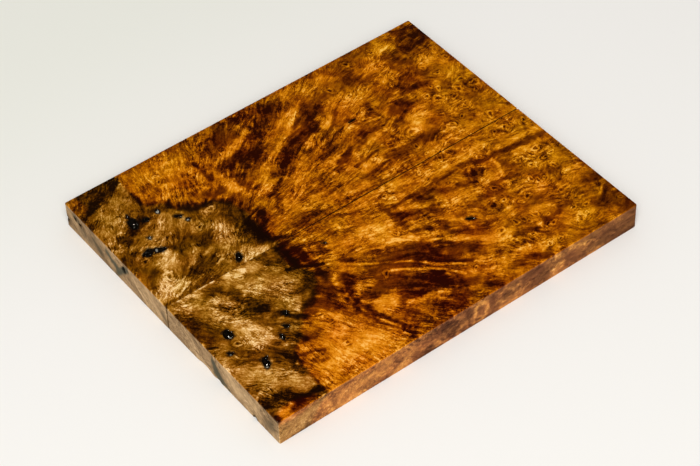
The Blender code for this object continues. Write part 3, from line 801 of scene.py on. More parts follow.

# %% [markdown]
# ## The mesh of a scale
# One slice is a flat block with eased edges. Bevelling a cube would do for the block, but the figure and
# the pockets need many even points on the show face. So the rows are laid one by one: a fine grid on top, a
# ring of rows round the edge, and a coarser grid below that meets every second point of the ring.

# %% Rows, rings and faces
SHOW_FACE, LONG_EDGE, GLUE_FACE, END_GRAIN, POCKET = range(5)
CELL = 0.35
RIM_ROWS = (0.0, 0.12, 0.30)
ARRIS, SEAM_ARRIS, CORNER = 0.25, 0.08, 0.5
ARRIS_TURNS = (30, 60, 90)
SIDE_ROWS = 12
SEAM_TIGHT, SEAM_CLOSED = 0.115, 0.148


def rows_between(low, high):
    """Even rows, with closer ones at both ends; an even number of cells."""
    cells = 2 * int(round((high - low) / CELL / 2))
    inner = np.linspace(low + RIM_ROWS[-1], high - RIM_ROWS[-1], cells + 1)
    rim = np.array(RIM_ROWS[:-1])
    return np.concatenate([low + rim, inner, high - rim[::-1]])


def soften_corner(x, y, low, high, radius):
    """Pulls the points of a square corner onto round lines; also gives the way out of the outline."""
    ox = x - np.clip(x, low[0] + radius, high[0] - radius)
    oy = y - np.clip(y, low[1] + radius, high[1] - radius)
    both = (ox != 0) & (oy != 0)
    reach = np.hypot(ox, oy) + 1e-12
    shrink = np.where(both, np.maximum(abs(ox), abs(oy)) / reach, 1)
    way_x, way_y = np.where(both, ox / reach, np.sign(ox)), np.where(both, oy / reach, np.sign(oy))
    return x + ox * (shrink - 1), y + oy * (shrink - 1), way_x, way_y


def block_mesh(name, low, high, side):
    """A slice between two corners (mm): points, faces and the part that each face belongs to."""
    seam_low = side > 0
    ring_low = np.array([low[0] + ARRIS, low[1] + (SEAM_ARRIS if seam_low else ARRIS)])
    ring_high = np.array([high[0] - ARRIS, high[1] - (ARRIS if seam_low else SEAM_ARRIS)])
    xs, ys = rows_between(ring_low[0], ring_high[0]), rows_between(ring_low[1], ring_high[1])
    nx, ny = len(xs), len(ys)
    gx, gy = np.meshgrid(xs, ys, indexing="ij")
    gx, gy, _, _ = soften_corner(gx, gy, ring_low, ring_high, CORNER - ARRIS)
    points = [np.stack([gx, gy, np.full(gx.shape, high[2])], -1).reshape(-1, 3)]
    index = np.arange(nx * ny).reshape(nx, ny)
    faces = [np.stack([index[:-1, :-1], index[1:, :-1], index[1:, 1:], index[:-1, 1:]], -1).reshape(-1, 4)]
    kinds = [np.full(len(faces[0]), SHOW_FACE)]
    rim = np.concatenate([index[:, 0], index[-1, 1:], index[-2::-1, -1], index[0, -2:0:-1]])
    flat_x, flat_y = xs[rim // ny], ys[rim % ny]
    base_x, base_y, way_x, way_y = soften_corner(flat_x, flat_y, ring_low, ring_high, CORNER - ARRIS)
    way_x = np.where((way_x == 0) & (way_y == 0) & (flat_x == xs[0]), -1, way_x)
    reach_x = np.where(way_x != 0, ARRIS, 0)
    seam_side = way_y < 0 if seam_low else way_y > 0
    reach_y = np.where(seam_side, SEAM_ARRIS, ARRIS)
    drop = np.where(abs(way_y) > 0.99, reach_y, ARRIS)
    turns = [math.radians(t) for t in ARRIS_TURNS]
    rings = [rim]
    count = nx * ny

    def ring(out, height):
        nonlocal count
        x, y = base_x + out * way_x * reach_x, base_y + out * way_y * reach_y
        points.append(np.stack([x, y, height], -1))
        rings.append(np.arange(count, count + len(rim)))
        count += len(rim)

    for angle in turns:
        ring(math.sin(angle), high[2] - drop * (1 - math.cos(angle)))
    for share in np.linspace(0, 1, SIDE_ROWS + 1)[1:]:
        ring(1.0, (high[2] - drop) * (1 - share) + (low[2] + drop) * share)
    for angle in reversed(turns[:-1]):
        ring(math.sin(angle), low[2] + drop * (1 - math.cos(angle)))
    for upper, lower in zip(rings, rings[1:]):
        quads = np.stack([upper, lower, np.roll(lower, -1), np.roll(upper, -1)], -1)
        faces.append(quads)
        kinds.append(np.full(len(quads), SHOW_FACE if len(kinds) <= len(ARRIS_TURNS) else LONG_EDGE))
    few_x, few_y = gx[::2, ::2], gy[::2, ::2]
    points.append(np.stack([few_x, few_y, np.full(few_x.shape, low[2])], -1).reshape(-1, 3))
    few = np.arange(count, count + few_x.size).reshape(few_x.shape)
    low_index = np.full((nx, ny), -1)
    low_index[::2, ::2] = few
    under = np.stack([few[:-1, :-1], few[:-1, 1:], few[1:, 1:], few[1:, :-1]], -1).reshape(-1, 4)
    faces.append(under)
    kinds.append(np.full(len(under), GLUE_FACE))
    coarse = low_index.reshape(-1)[rim[::2]]
    onward, last = np.roll(coarse, -1), rings[-1]
    f0, f1, f2 = last[::2], last[1::2], np.roll(last, -2)[::2]
    thirds = [np.stack(t, -1) for t in ((f0, coarse, f1), (f1, coarse, onward), (f1, onward, f2))]
    everything = [tuple(face) for block in (*faces, *thirds) for face in block.tolist()]
    kinds.append(np.full(3 * len(coarse), GLUE_FACE))
    mesh = bpy.data.meshes.new(name)
    mesh.from_pydata((np.concatenate(points) * MM).tolist(), [], everything)
    mesh.polygons.foreach_set("material_index", np.concatenate(kinds))
    mesh.update()
    return mesh


# %% [markdown]
# ## Open the pockets in the mesh
# The cells round a pocket are cut three by three, so that its rim can be crisp. Then the points near a rim
# are moved onto it, and those inside sink. The end face works the same way, with its points pushed inwards.
# Painted glints in the pockets are a map too: pale spots on the dark wall, where the light would shine.

# %% Refine and sink
REFINE_REACH = 1.35
SNAP = 0.06
PUSH_REACH = 4.0
WIDE_NICK = 1.5
FACE_SLACK = 0.02
BOWL = 0.6
GLASSY_END = -20.0
# painted glints in the pockets: along the scale, out from the seam, radius, brightness
PAINTED_GLINTS = {
    "scale_left": (
        (-45.6, 33.2, 0.46, 0.9), (-53.3, 25.7, 0.36, 0.8), (-40.4, 24.9, 0.36, 0.8),
        (-54.3, 20.7, 0.34, 0.6), (-53.9, 33.3, 0.25, 0.5), (-41.8, 27.6, 0.25, 0.45),
        (-50.0, 32.2, 0.3, 0.35),
    ),
    "scale_right": (
        (-57.0, 20.0, 0.42, 0.8), (-55.2, 35.0, 0.36, 1.0), (-60.8, 25.6, 0.28, 0.4),
        (-42.3, 27.8, 0.3, 0.7), (-46.0, 29.6, 0.25, 0.3),
    ),
}


def glint_mask(points, name, side):
    """How much of a painted glint is at each point."""
    mask = np.zeros(len(points))
    for cx, cy, radius, share in PAINTED_GLINTS[name]:
        away = np.hypot(points[:, 0] - cx, side * points[:, 1] - cy)
        mask = np.maximum(mask, share * ease(1.25 * radius, 0.6 * radius, away))
    return mask


def near_pockets(points, name, side, low):
    """Which points lie at or near a pocket."""
    out_from_seam = side * points[:, 1]
    close = np.zeros(len(points), bool)
    on_top = points[:, 2] > THICKNESS - FACE_SLACK
    for k, (cx, cy, a, b, _, turn) in enumerate(TOP_POCKETS[name]):
        ratio, _, _ = rim_distance(points[:, 0], out_from_seam, (cx, cy, a, b, turn), k)
        close |= on_top & (ratio < 1 + REFINE_REACH * 0.3 / min(a, b))
    on_end = points[:, 0] < low[0] + FACE_SLACK
    for k, (cy, cz, b, h, _) in enumerate(END_POCKETS[name]):
        ratio, _, _ = rim_distance(out_from_seam, points[:, 2], (cy, cz, b, h, 0), 50 + k)
        close |= on_end & (ratio < 1 + REFINE_REACH * 0.3 / min(b, h))
    return close


def sink_pockets(points, name, side, low):
    """Snaps points to the rims and sinks the ones inside. Also gives each point's distance from a rim."""
    out_from_seam = side * points[:, 1]
    rim = np.full(len(points), 9.0)
    on_top = points[:, 2] > THICKNESS - FACE_SLACK
    drop = np.zeros(len(points))
    for k, (cx, cy, a, b, depth, turn) in enumerate(TOP_POCKETS[name]):
        ratio, dx, dy = rim_distance(points[:, 0], out_from_seam, (cx, cy, a, b, turn), k)
        gap = abs(ratio - 1) * np.hypot(dx, dy)
        snap = on_top & (gap < SNAP)
        points[snap, 0] = cx + dx[snap] / ratio[snap]
        points[snap, 1] = side * (cy + dy[snap] / ratio[snap])
        ratio[snap] = 1
        away = np.hypot(dx, dy) * (1 - 1 / np.maximum(ratio, 0.01))
        rim = np.where(on_top, np.minimum(rim, away), rim)
        bowl = np.clip(1 - ratio ** 2, 0, 1) ** 0.8
        drop = np.maximum(drop, np.where(on_top, BOWL * depth * bowl, 0))
    points[:, 2] -= drop
    end = points[:, 0] - low[0]
    push = np.zeros(len(points))
    for k, (cy, cz, b, h, depth) in enumerate(END_POCKETS[name]):
        ratio, dy, dz = rim_distance(out_from_seam, points[:, 2], (cy, cz, b, h, 0), 50 + k)
        wide = b > WIDE_NICK
        bowl = np.clip(1 - ratio ** 2, 0, 1) ** (1.5 if wide else 0.5)
        fade = np.clip(1 - end / PUSH_REACH, 0, 1) ** 2
        push = np.maximum(push, (0.35 * depth if wide else depth) * bowl * fade)
        if not wide:
            away = np.hypot(dy, dz) * (1 - 1 / np.maximum(ratio, 0.01))
            rim = np.where(end < 0.3, np.minimum(rim, away), rim)
    points[:, 0] += push
    return points, rim


def refine(mesh, close):
    """Cuts every edge whose two ends are close to a pocket into three."""
    work = bmesh.new()
    work.from_mesh(mesh)
    work.verts.ensure_lookup_table()
    edges = [e for e in work.edges if close[e.verts[0].index] and close[e.verts[1].index]]
    bmesh.ops.subdivide_edges(work, edges=edges, cuts=2, use_grid_fill=True)
    work.to_mesh(mesh)
    work.free()


def read_points(mesh):
    """The mesh's points as a table, in millimetres."""
    flat = np.empty(3 * len(mesh.vertices))
    mesh.vertices.foreach_get("co", flat)
    return flat.reshape(-1, 3) / MM


# %% [markdown]
# ## Carry the figure onto the mesh
# The fibres slant through the block, about two millimetres sideways for each millimetre down. Every point
# looks up the board at the place where its own fibre reaches the show face, so a streak runs over the edge
# and on down the side. The maps travel as named attributes, which the shader nodes read. Below their top
# edges the two walls of the seam draw nearly together, so that no light shines up through the slot.

# %% Build the two scales
SLANT, SLANT_ALONG = 1.94, 0.9
STEEP, WALL_START, SEAM_SKIN = 0.7, -0.03, 0.03

# marks on the sawn edges: strength, half width, then points; out from the seam (or along) and height
END_MARKS = {
    "scale_left": (
        (-0.5, 3.0, 51, 5, 46, 4), (-0.4, 1.6, 40, 5, 35, 3.4), (-0.3, 1.0, 44, 2, 38, 1),
        (0.5, 1.2, 17, 6.4, 14, 4, 11, 1), (0.4, 1.4, 10, 7.4, 7, 4.4), (-0.5, 1.3, 2.4, 5, 0.6, 1.4),
        (-0.4, 0.7, 20, 5, 18, 2), (0.35, 0.8, 33, 8.4, 30, 8), (-0.35, 0.5, 13, 8.6, 10, 6),
        (0.3, 1.0, 4.5, 3.5, 3.5, 1), (0.3, 0.7, 49, 1.4, 43, 0.8),
    ),
    "scale_right": (
        (-0.35, 0.4, 2, 7.4, 5, 5.6, 7, 3.4), (-0.35, 0.4, 4, 8.4, 8, 6.4, 10.6, 3.4),
        (0.4, 0.6, 8, 8.4, 12, 7, 14, 4.6), (0.4, 0.8, 15.4, 8, 18, 6.4, 20, 4.4),
        (-0.4, 0.5, 12, 8.8, 16, 6.6), (2.0, 0.9, 15, 1.7, 21, 1.0),
        (-1.3, 0.3, 14, 3.4, 17, 2.9, 21.5, 2.0), (-0.5, 0.6, 26, 7.6, 30, 6, 32, 3),
        (0.5, 2.2, 31, 5, 40, 5), (0.4, 1.0, 28, 7.4, 31, 7.8), (-0.3, 0.5, 36, 8.4, 38, 3),
        (-0.8, 2.2, 49.6, 4.6, 48, 3.4), (0.5, 0.8, 44, 8, 43, 4), (-0.4, 0.6, 40.5, 1.6, 43, 1),
    ),
}
END_STAINS = {
    "scale_left": (
        (1.2, 0.9, 31, 6.6, 28.4, 5, 25.2, 3.7), (1.3, 1.0, 20.8, 7.2, 22.6, 5.8, 25.6, 2.6),
        (0.7, 0.9, 25.6, 2.4, 27, 0.4), (0.6, 1.0, 48.6, 7.6, 47, 7.2), (0.4, 1.4, 38, 5.4, 35, 3.4),
        (0.3, 1.6, 46, 4, 41, 3), (0.4, 0.8, 2.4, 5, 0.8, 1.2),
    ),
    "scale_right": (
        (1.2, 0.9, 22.8, 6.6, 23.8, 3.6), (1.4, 1.7, 24.2, 3.4, 25.6, 0.8),
        (1.0, 0.6, 26.6, 2.4, 30, 0.5), (0.8, 0.6, 42.2, 0.8, 43, 0.4), (0.35, 1.6, 50, 4.6, 48, 2.4),
    ),
}
LONG_MARKS = {
    "scale_left": (
        (0.5, 1.6, -50, 5, -44, 4), (-0.5, 2.0, -36, 6, -26, 4), (0.5, 1.0, -18, 7, -12, 4, -6, 3),
        (-0.6, 1.6, 2, 6, 9, 5), (0.5, 1.2, 16, 3, 22, 6), (-0.5, 1.8, 30, 4, 37, 6),
        (0.5, 1.0, 44, 7, 50, 3), (-0.6, 1.8, 56, 5, 62, 4),
    ),
    "scale_right": (
        (1.0, 3.2, -63, 5, -55, 5), (-0.25, 3.2, -45, 5, -31, 5), (0.45, 2.8, -20, 5, -11, 5),
        (-0.35, 2.8, 11, 5, 18, 5), (-0.25, 2.8, 28, 5, 36, 5), (-0.55, 3.2, 55, 5, 65, 5),
        (1.1, 1.0, -61, 7.4, -60, 5, -57.6, 2.6), (0.7, 0.8, -57.6, 7.6, -58.6, 5),
        (-0.6, 1.6, -63.6, 4, -63.8, 2), (-0.7, 1.8, -54.6, 5, -52.4, 2.6),
        (0.8, 0.8, -50.6, 9, -48.8, 5, -47, 1), (-0.4, 0.8, -47.6, 8, -46, 5),
        (0.6, 0.6, -45, 2.6, -43.6, 5.4, -40, 7.4, -34, 8), (0.5, 0.8, -41, 2, -38, 4.4, -33, 5.4),
        (0.8, 1.1, -31, 3.4, -27, 3), (0.6, 0.8, -44, 0.8, -36, 0.8), (0.5, 0.7, -29, 8, -26, 6),
        (-0.6, 0.9, -25.6, 6.6, -23, 4), (0.8, 0.7, -23.6, 1.4, -21.6, 2.4),
        (0.5, 0.7, -21, 8.4, -19, 6.6), (-0.7, 2.2, -13, 6, -5, 6), (-0.7, 1.4, -18, 2.4, -13, 1.6),
        (0.9, 0.7, -11, 3, -9, 1, -6.4, 0.8), (0.6, 0.6, -4, 8.6, -1, 6.4), (0.6, 0.5, -3, 2, 0.6, 3.6),
        (-0.8, 0.9, 1.4, 6.6, 1.8, 5.2), (0.9, 0.55, 4, 3, 3.4, 6, 5, 8, 7.4, 7, 8.4, 4.4, 7.6, 1.6),
        (-1.0, 0.9, 5.6, 5.4, 6, 4), (-0.6, 1.0, 10, 3, 10, 6), (0.6, 0.45, 11, 8, 13, 6.6, 15, 8),
        (0.7, 0.45, 12, 4, 14.4, 2.4, 17, 3.6), (0.7, 0.45, 16, 7, 18, 5, 20.4, 6.6),
        (0.6, 0.45, 13, 0.8, 19, 1.2), (0.6, 0.4, 18.4, 2.8, 20.6, 3.6), (-0.5, 0.7, 14, 5.2, 16.4, 4.8),
        (-0.9, 2.6, 24, 6, 29, 5), (-0.6, 1.2, 23, 2, 30, 1.4), (0.5, 0.5, 31, 8.4, 36, 7.6),
        (1.1, 1.3, 33.6, 2.6, 36, 3.6), (-0.8, 1.6, 38.4, 3.6, 44, 3),
        (0.6, 0.6, 39, 8.4, 43, 6.8, 46, 6), (-0.9, 2.2, 48, 5, 53, 4),
        (0.7, 0.5, 54.6, 4, 56, 6.4, 58, 7), (0.6, 0.5, 58.6, 7.6, 60, 5.6), (-0.8, 1.6, 62, 4, 64, 3),
        (0.5, 0.5, 46, 0.8, 52, 1.2),
    ),
}


def edge_mask(points, low, high):
    """1 on the four sawn edges, below the show face and above the glue face."""
    inset = np.minimum(points[:, :2] - low[:2], high[:2] - points[:, :2]).min(axis=1)
    down = np.minimum(high[2] - points[:, 2], points[:, 2] - low[2])
    return (inset < 0.1) * ease(0.1, 1.0, down)


def edge_marks(name, side, points, low):
    """The marks of the sawn edges, and the green-grey stain on the end, at each point."""
    out, height = side * points[:, 1], points[:, 2]
    sway = 0.35 * layered(out + points[:, 0], height, 7, 2.2, 2)
    on_end = points[:, 0] < low[0] + 0.1
    on_long = (out > 53.3) & ~on_end
    ragged = 0.2 * layered(out + 3 * points[:, 0], 2 * height, 9, 1.3, 2)
    drawn = np.where(on_end, paint(out + sway, height - sway, END_MARKS[name], ragged), 0)
    drawn += np.where(on_long, paint(points[:, 0] + sway, height + sway, LONG_MARKS[name], ragged), 0)
    stain = np.where(on_end, paint(out + sway, height - sway, END_STAINS[name], ragged), 0)
    return drawn, np.clip(stain, 0, 1)


def write_map(mesh, name, values):
    """Stores one number, or one vector, for each point of the mesh."""
    kind = "FLOAT_VECTOR" if values.ndim == 2 else "FLOAT"
    layer = mesh.attributes.new(name, kind, "POINT")
    layer.data.foreach_set("vector" if values.ndim == 2 else "value", values.astype(np.float32).ravel())


def arris_mask(points, low, high):
    """1 on the eased edges of the block, 0 on the flat of its faces."""
    inset = np.concatenate([points - low, high - points], axis=1)
    second = np.sort(np.abs(inset), axis=1)[:, 1]
    return ease(0.34, 0.10, second)


def hue_drift(along, out, side):
    """How far the gold leans to yellow (plus) or to red (minus) at each point."""
    drift = 0.9 * ease(42, 60, along)
    if side > 0:
        return drift + ease(40, 52, out) * (0.35 + 0.4 * ease(0, -12, along))
    return drift - 0.6 * ease(20, 32, out) * ease(32, 10, along) * (1 - 0.4 * ease(48, 53, out))


def choose_finishes(mesh, rim, side):
    """Gives the faces of the pockets, the sawn end and the seam their own finishes."""
    kinds = np.empty(len(mesh.polygons), np.int32)
    mesh.polygons.foreach_get("material_index", kinds)
    for face in mesh.polygons:
        if max(rim[v] for v in face.vertices) < WALL_START and face.center.x < GLASSY_END * MM:
            kinds[face.index] = POCKET
        elif kinds[face.index] == LONG_EDGE and face.normal.x < -STEEP:
            kinds[face.index] = END_GRAIN
        elif kinds[face.index] == LONG_EDGE and side * face.normal.y < -STEEP:
            kinds[face.index] = GLUE_FACE
    mesh.polygons.foreach_set("material_index", kinds)


def seam_shade(x, from_seam, depth, end):
    """Painted shade: how dark the slot between the scales is at each point, with a dark line where the slot
    meets the end face. end is where the scale begins.
    """
    in_slot = (from_seam < SEAM_SKIN) & (depth > SEAM_SKIN)
    shade = np.where(in_slot, ease(2.5, 0.6, depth) * (0.55 + 0.45 * ease(-26, -16, x)), 0)
    at_end = 0.95 * (x < end + 0.9) * (depth > SEAM_SKIN) * ease(0.45, 0.15, from_seam)
    return np.maximum(shade, at_end)


def build_scale(name, side):
    """One slice: its mesh, its pockets and the maps of its figure."""
    low, high = (np.array(corner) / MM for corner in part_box(name))
    mesh = block_mesh(name + "_wood", low, high, side)
    refine(mesh, near_pockets(read_points(mesh), name, side, low))
    points = read_points(mesh)
    flat = points.copy()
    points, rim = sink_pockets(points, name, side, low)
    x, y, depth = flat[:, 0], flat[:, 1], high[2] - flat[:, 2]
    from_seam = side * (y - (low[1] if side > 0 else high[1]))
    tight = np.maximum(SEAM_TIGHT * ease(-12, -26, x), SEAM_CLOSED * ease(0.3, 1.2, depth))
    points[:, 1] -= side * tight * ease(6, 0, from_seam)
    mesh.vertices.foreach_set("co", (points * MM).ravel())
    choose_finishes(mesh, rim, side)

    edge = edge_mask(flat, low, high)
    far_end = edge * (x > high[0] - 0.1)
    swirl = 1.6 * far_end * layered(y, 1.5 * flat[:, 2], 13, 3.4, 2)
    along = x + SLANT_ALONG * depth - 2 * swirl
    across = side * (y + SLANT * depth) + swirl
    maps = {label: look_up(board, along, across) for label, board in boards[name].items()}
    drawn, stain = edge_marks(name, side, flat, low)
    # painted shade on the sawn edges: darker towards +X, less on the +X end face, and lighter on the long
    # sides near the grey end
    painted_edge_shade = ease(-20, 60, x) * (1 - 0.8 * far_end)
    painted_edge_shade = painted_edge_shade - 0.75 * ease(-35, -55, x) * (x > low[0] + 0.1)
    maps["tone"] = maps["tone"] * (1 - 0.7 * edge) + drawn - 0.45 * edge * painted_edge_shade
    # painted shade of the seam slot joins the map of the inked mineral lines
    maps["ink_and_slot_shade"] = np.maximum(maps["ink_and_slot_shade"] * (1 - 0.8 * edge), seam_shade(x, from_seam, depth, low[0]))
    # painted highlight: the eased edges are drawn lighter, as if they caught the light; along the seam only
    # near the grey end
    edge_highlight = arris_mask(flat, low, high) * np.where(from_seam < 1, ease(-45, -52, x), 1)

    written = {label: maps[label] for label in ("tone", "ink_and_slot_shade", "grey", "eyes", "lively")}
    written |= {
        "fibres": np.stack([maps[k] for k in ("fine", "middle", "broad")], -1),
        "clouds": np.stack([maps[k] for k in ("curl", "cloud", "mottle")], -1),
        "fibre_way": np.stack([maps["way_x"], maps["way_y"], 0 * depth], -1),
        "stain": stain, "warmth": hue_drift(x, side * y, side), "rim": rim,
        "painted_glint": glint_mask(flat, name, side), "arris_highlight": edge_highlight,
        "figure_place": np.stack([along, across, depth], -1),
    }
    for label, values in written.items():
        write_map(mesh, label, values)
    mesh.shade_smooth()
    mesh.update()
    made = bpy.data.objects.new(name + "_wood", mesh)
    bpy.context.scene.collection.objects.link(made)
    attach(made, "root")
    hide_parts(name)
    triangles = sum(len(face.vertices) - 2 for face in mesh.polygons)
    print(name, "points", len(points), "triangles", triangles)
    return made


scales = [build_scale("scale_left", 1), build_scale("scale_right", -1)]

# %% [markdown]
# ## Flecks along the fibres
# The smeared maps stop at a third of a millimetre, but real burl sparkles with finer flecks. Each fleck here
# is a thin ellipse round the nearest of many scattered points, turned along the fibre direction of the map.
# Some come out light and some dark, by the random colour that the Voronoi texture gives each point.

# %% The group: fibre flecks
FLAT, HALF = (1, 1, 0), (0.5, 0.5, 0.5)


def stored(tree, name, output="Fac"):
    """An attribute of the mesh, by name."""
    return add(tree, "Attribute", attribute_name=name, attribute_type="GEOMETRY").outputs[output]


flecks, enter, leave = new_group(
    "fibre flecks",
    (("Scale", 1.0), ("Half Length", 0.7), ("Half Width", 0.18), ("Bend", 0.3)),
    (("Fleck", "Float"),),
)
t = flecks
spot = vector(t, "MULTIPLY", stored(t, "figure_place", "Vector"), FLAT)
sway = vector(t, "SUBTRACT", speckle(t, spot, 0.9, 3.0, "Color"), HALF)
spot = vector(t, "MULTIPLY", vector(t, "ADD", spot, scaled(t, sway, enter["Bend"])), FLAT)
nearest = add(t, "TexVoronoi", {"Vector": spot, "Scale": enter["Scale"]}, voronoi_dimensions="2D").outputs
offset = vector(t, "SUBTRACT", spot, nearest["Position"])
fibre = stored(t, "fibre_way", "Vector")
along_it = add(t, "VectorMath", {0: offset, 1: fibre}, operation="DOT_PRODUCT").outputs["Value"]
across_it = add(t, "SeparateXYZ", {0: vector(t, "CROSS_PRODUCT", offset, fibre)}).outputs["Z"]
longer = sums(t, "DIVIDE", along_it, enter["Half Length"])
wider = sums(t, "DIVIDE", across_it, enter["Half Width"])
reach = sums(t, "ADD", sums(t, "MULTIPLY", longer, longer), sums(t, "MULTIPLY", wider, wider))
shape = spread(t, reach, 1.3, 0.2, kind="SMOOTHSTEP")
luck = add(t, "SeparateColor", {0: nearest["Color"]}).outputs[0]
sign = sums(t, "MULTIPLY_ADD", luck, 2.0, -1.0)
t.links.new(sums(t, "MULTIPLY", shape, sign), leave["Fleck"])
print("group", flecks.name, "nodes", len(t.nodes))

# %% [markdown]
# ## From maps to one lightness
# The maps meet in one group that every wood finish uses. It starts from the placed marks, bent into a soft
# limit, and adds the streaks of three widths, the ripples across them, the clouds and the rings of the eyes.
# Dark places are calm in burl, so the streaks fade there, and the mineral end has its own, softer mix.

# %% The group: burl lightness
# how far the marks may push, and the lightness where no mark lies
MARK_PUSH, MARK_PUSH_GREY, BASE_LIGHT = 0.37, -0.04, 0.557
# how much each smeared map adds where the streaks are awake, and how much each broad one adds everywhere
FINE_SHARE, COMBED_SHARE, CURL_SHARE = 0.04, 0.075, 0.055
BROAD_SHARE, CLOUD_SHARE, MOTTLE_SHARE = 0.03, 0.035, 0.045
# three sizes of fleck: scale, half length, half width, bend and strength
FLECK_SIZES = ((0.95, 0.85, 0.18, 0.9, 0.15), (0.5, 1.9, 0.22, 1.6, 0.13), (1.6, 0.45, 0.14, 0.5, 0.14))
# lightness of a bud from its middle outwards, where a half changes nothing
RINGS = (
    (0.0, 0.12), (0.1, 0.18), (0.18, 0.40), (0.29, 0.66), (0.40, 0.52), (0.5, 0.37), (0.6, 0.47), (0.72, 0.5),
    (1.0, 0.5),
)
RING_STRENGTH = 0.95


def parts_of(tree, name):
    """The three numbers of a vector attribute."""
    return add(tree, "SeparateXYZ", {0: stored(tree, name, "Vector")}).outputs


lightness, enter, leave = new_group(
    "burl lightness",
    (("Contrast", 1.0), ("Streaks", 1.0)),
    (("Lightness", "Float"), ("Greyness", "Float"), ("Relief", "Float")),
)
t = lightness
fine, middle, broad = parts_of(t, "fibres")
curl, cloud, mottle = parts_of(t, "clouds")
grey, spot = stored(t, "grey"), stored(t, "figure_place", "Vector")
reach = sums(t, "MULTIPLY_ADD", grey, MARK_PUSH_GREY, MARK_PUSH)
marks = sums(t, "MULTIPLY", sums(t, "TANH", sums(t, "MULTIPLY", stored(t, "tone"), 1.15)), reach)
base = sums(t, "ADD", marks, BASE_LIGHT)
awake = spread(t, base, 0.12, 0.52, 0.12, 1.0)
liveliness = sums(t, "MULTIPLY_ADD", stored(t, "lively"), 0.7, sums(t, "MULTIPLY_ADD", grey, -0.10, 0.66))
strength = sums(t, "MULTIPLY", sums(t, "MULTIPLY", liveliness, awake), enter["Streaks"])
combed = sums(t, "TANH", sums(t, "MULTIPLY", middle, 1.6))
streaks = sums(t, "MULTIPLY", fine, FINE_SHARE)
streaks = sums(t, "MULTIPLY_ADD", combed, COMBED_SHARE, streaks)
streaks = sums(t, "MULTIPLY_ADD", curl, CURL_SHARE, streaks)
total = sums(t, "MULTIPLY_ADD", streaks, strength, base)
for part, share in ((broad, BROAD_SHARE), (cloud, CLOUD_SHARE), (mottle, MOTTLE_SHARE)):
    total = sums(t, "MULTIPLY_ADD", part, share, total)

# threads that run with the smeared maps, a little grit, and the flecks
spun = vector(t, "MULTIPLY", stored(t, "fibres", "Vector"), (0.35, 1.0, 1.6))
threads = add(t, "TexNoise", {"Vector": spun, "Scale": 1.1, "Detail": 4.0, "Roughness": 0.62}).outputs["Fac"]
weave = sums(t, "MULTIPLY_ADD", grey, 0.35, 0.95)
grit = sums(t, "MULTIPLY_ADD", grey, 0.15, 0.5)
grit = sums(t, "MULTIPLY", sums(t, "SUBTRACT", speckle(t, spot, 2.1, 3.0), 0.5), grit)
hair = sums(t, "MULTIPLY_ADD", sums(t, "SUBTRACT", threads, 0.5), weave, grit)
for scale, half_length, half_width, bend, share in FLECK_SIZES:
    sockets = {"Scale": scale, "Half Length": half_length, "Half Width": half_width, "Bend": bend}
    hair = sums(t, "MULTIPLY_ADD", place(t, flecks, sockets).outputs["Fleck"], share, hair)
total = sums(t, "MULTIPLY_ADD", hair, strength, total)

# the rings of the buds, ragged like everything that grew
raggedness = sums(t, "MULTIPLY_ADD", speckle(t, spot, 1.3, 2.0), 0.8, 0.1)
near_eye = sums(t, "MULTIPLY", stored(t, "eyes"), raggedness)
rings = add(t, "FloatCurve", {"Value": near_eye})
curve = rings.mapping.curves[0]
for x, y in RINGS[1:-1]:
    curve.points.new(x, y)
curve.points[0].location = RINGS[0]
curve.points[-1].location = RINGS[-1]
rings.mapping.update()
total = sums(t, "MULTIPLY_ADD", sums(t, "SUBTRACT", rings.outputs[0], 0.5), RING_STRENGTH, total)
away = sums(t, "MULTIPLY", sums(t, "SUBTRACT", total, 0.5), enter["Contrast"])
t.links.new(sums(t, "ADD", away, 0.5), leave["Lightness"])
t.links.new(grey, leave["Greyness"])
t.links.new(streaks, leave["Relief"])
print("group", lightness.name, "nodes", len(t.nodes))

# %% [markdown]
# ## From lightness to colour
# Two palettes share the wood: honey to near-black red-brown in the gold part, sand to dark olive-brown in
# the mineral end. Each is a ramp, and the greyness map chooses between them. Slow noise and the warmth map
# tint both, since no two square centimetres of burl have quite the same hue. A third, pale ramp makes a
# painted sheen on the sawn edges, as if they mirrored the pale table. Stain, the inked mineral lines, the
# painted shade of the seam slot and the torn rims of the pockets lie on top.

# %% The group: burl colour
GOLD = (
    (0.0, (40, 6, 0)), (0.12, (73, 23, 0)), (0.3, (112, 48, 0)), (0.5, (161, 84, 0)), (0.66, (203, 117, 4)),
    (0.82, (230, 144, 27)), (1.0, (248, 184, 84)),
)
SAND = (
    (0.0, (23, 7, 0)), (0.15, (60, 29, 0)), (0.33, (102, 56, 0)), (0.5, (138, 83, 8)), (0.66, (178, 119, 39)),
    (0.82, (217, 163, 88)), (1.0, (247, 208, 148)),
)
PALE_SHEEN = (
    (0.0, (74, 58, 40)), (0.2, (118, 95, 68)), (0.4, (164, 134, 98)), (0.6, (198, 165, 122)),
    (0.8, (222, 192, 148)), (1.0, (247, 234, 210)),
)
STAIN, INK_AND_SLOT_SHADE, HOLLOW = srgb(70, 74, 62), srgb(19, 5, 1), srgb(9, 7, 5)
HUE_LOW, HUE_HIGH, HUE_PER_WARMTH = 0.496, 0.508, 0.0065

colouring, enter, leave = new_group(
    "burl colour", (("Lightness", 0.5), ("Greyness", 0.0), ("Pale", 0.0)), (("Color", "Color"),)
)
t = colouring
gold, sand, pale_sheen = (ramp(t, enter["Lightness"], stops) for stops in (GOLD, SAND, PALE_SHEEN))
spot, rim = stored(t, "figure_place", "Vector"), stored(t, "rim")
slow_hue = spread(t, speckle(t, spot, 0.11, 3.0), 0.3, 0.7, HUE_LOW, HUE_HIGH)
hue = sums(t, "MULTIPLY_ADD", stored(t, "warmth"), HUE_PER_WARMTH, slow_hue)
colour = blend(t, enter["Greyness"], gold, sand)
colour = add(t, "HueSaturation", {"Hue": hue, "Color": colour}).outputs[0]
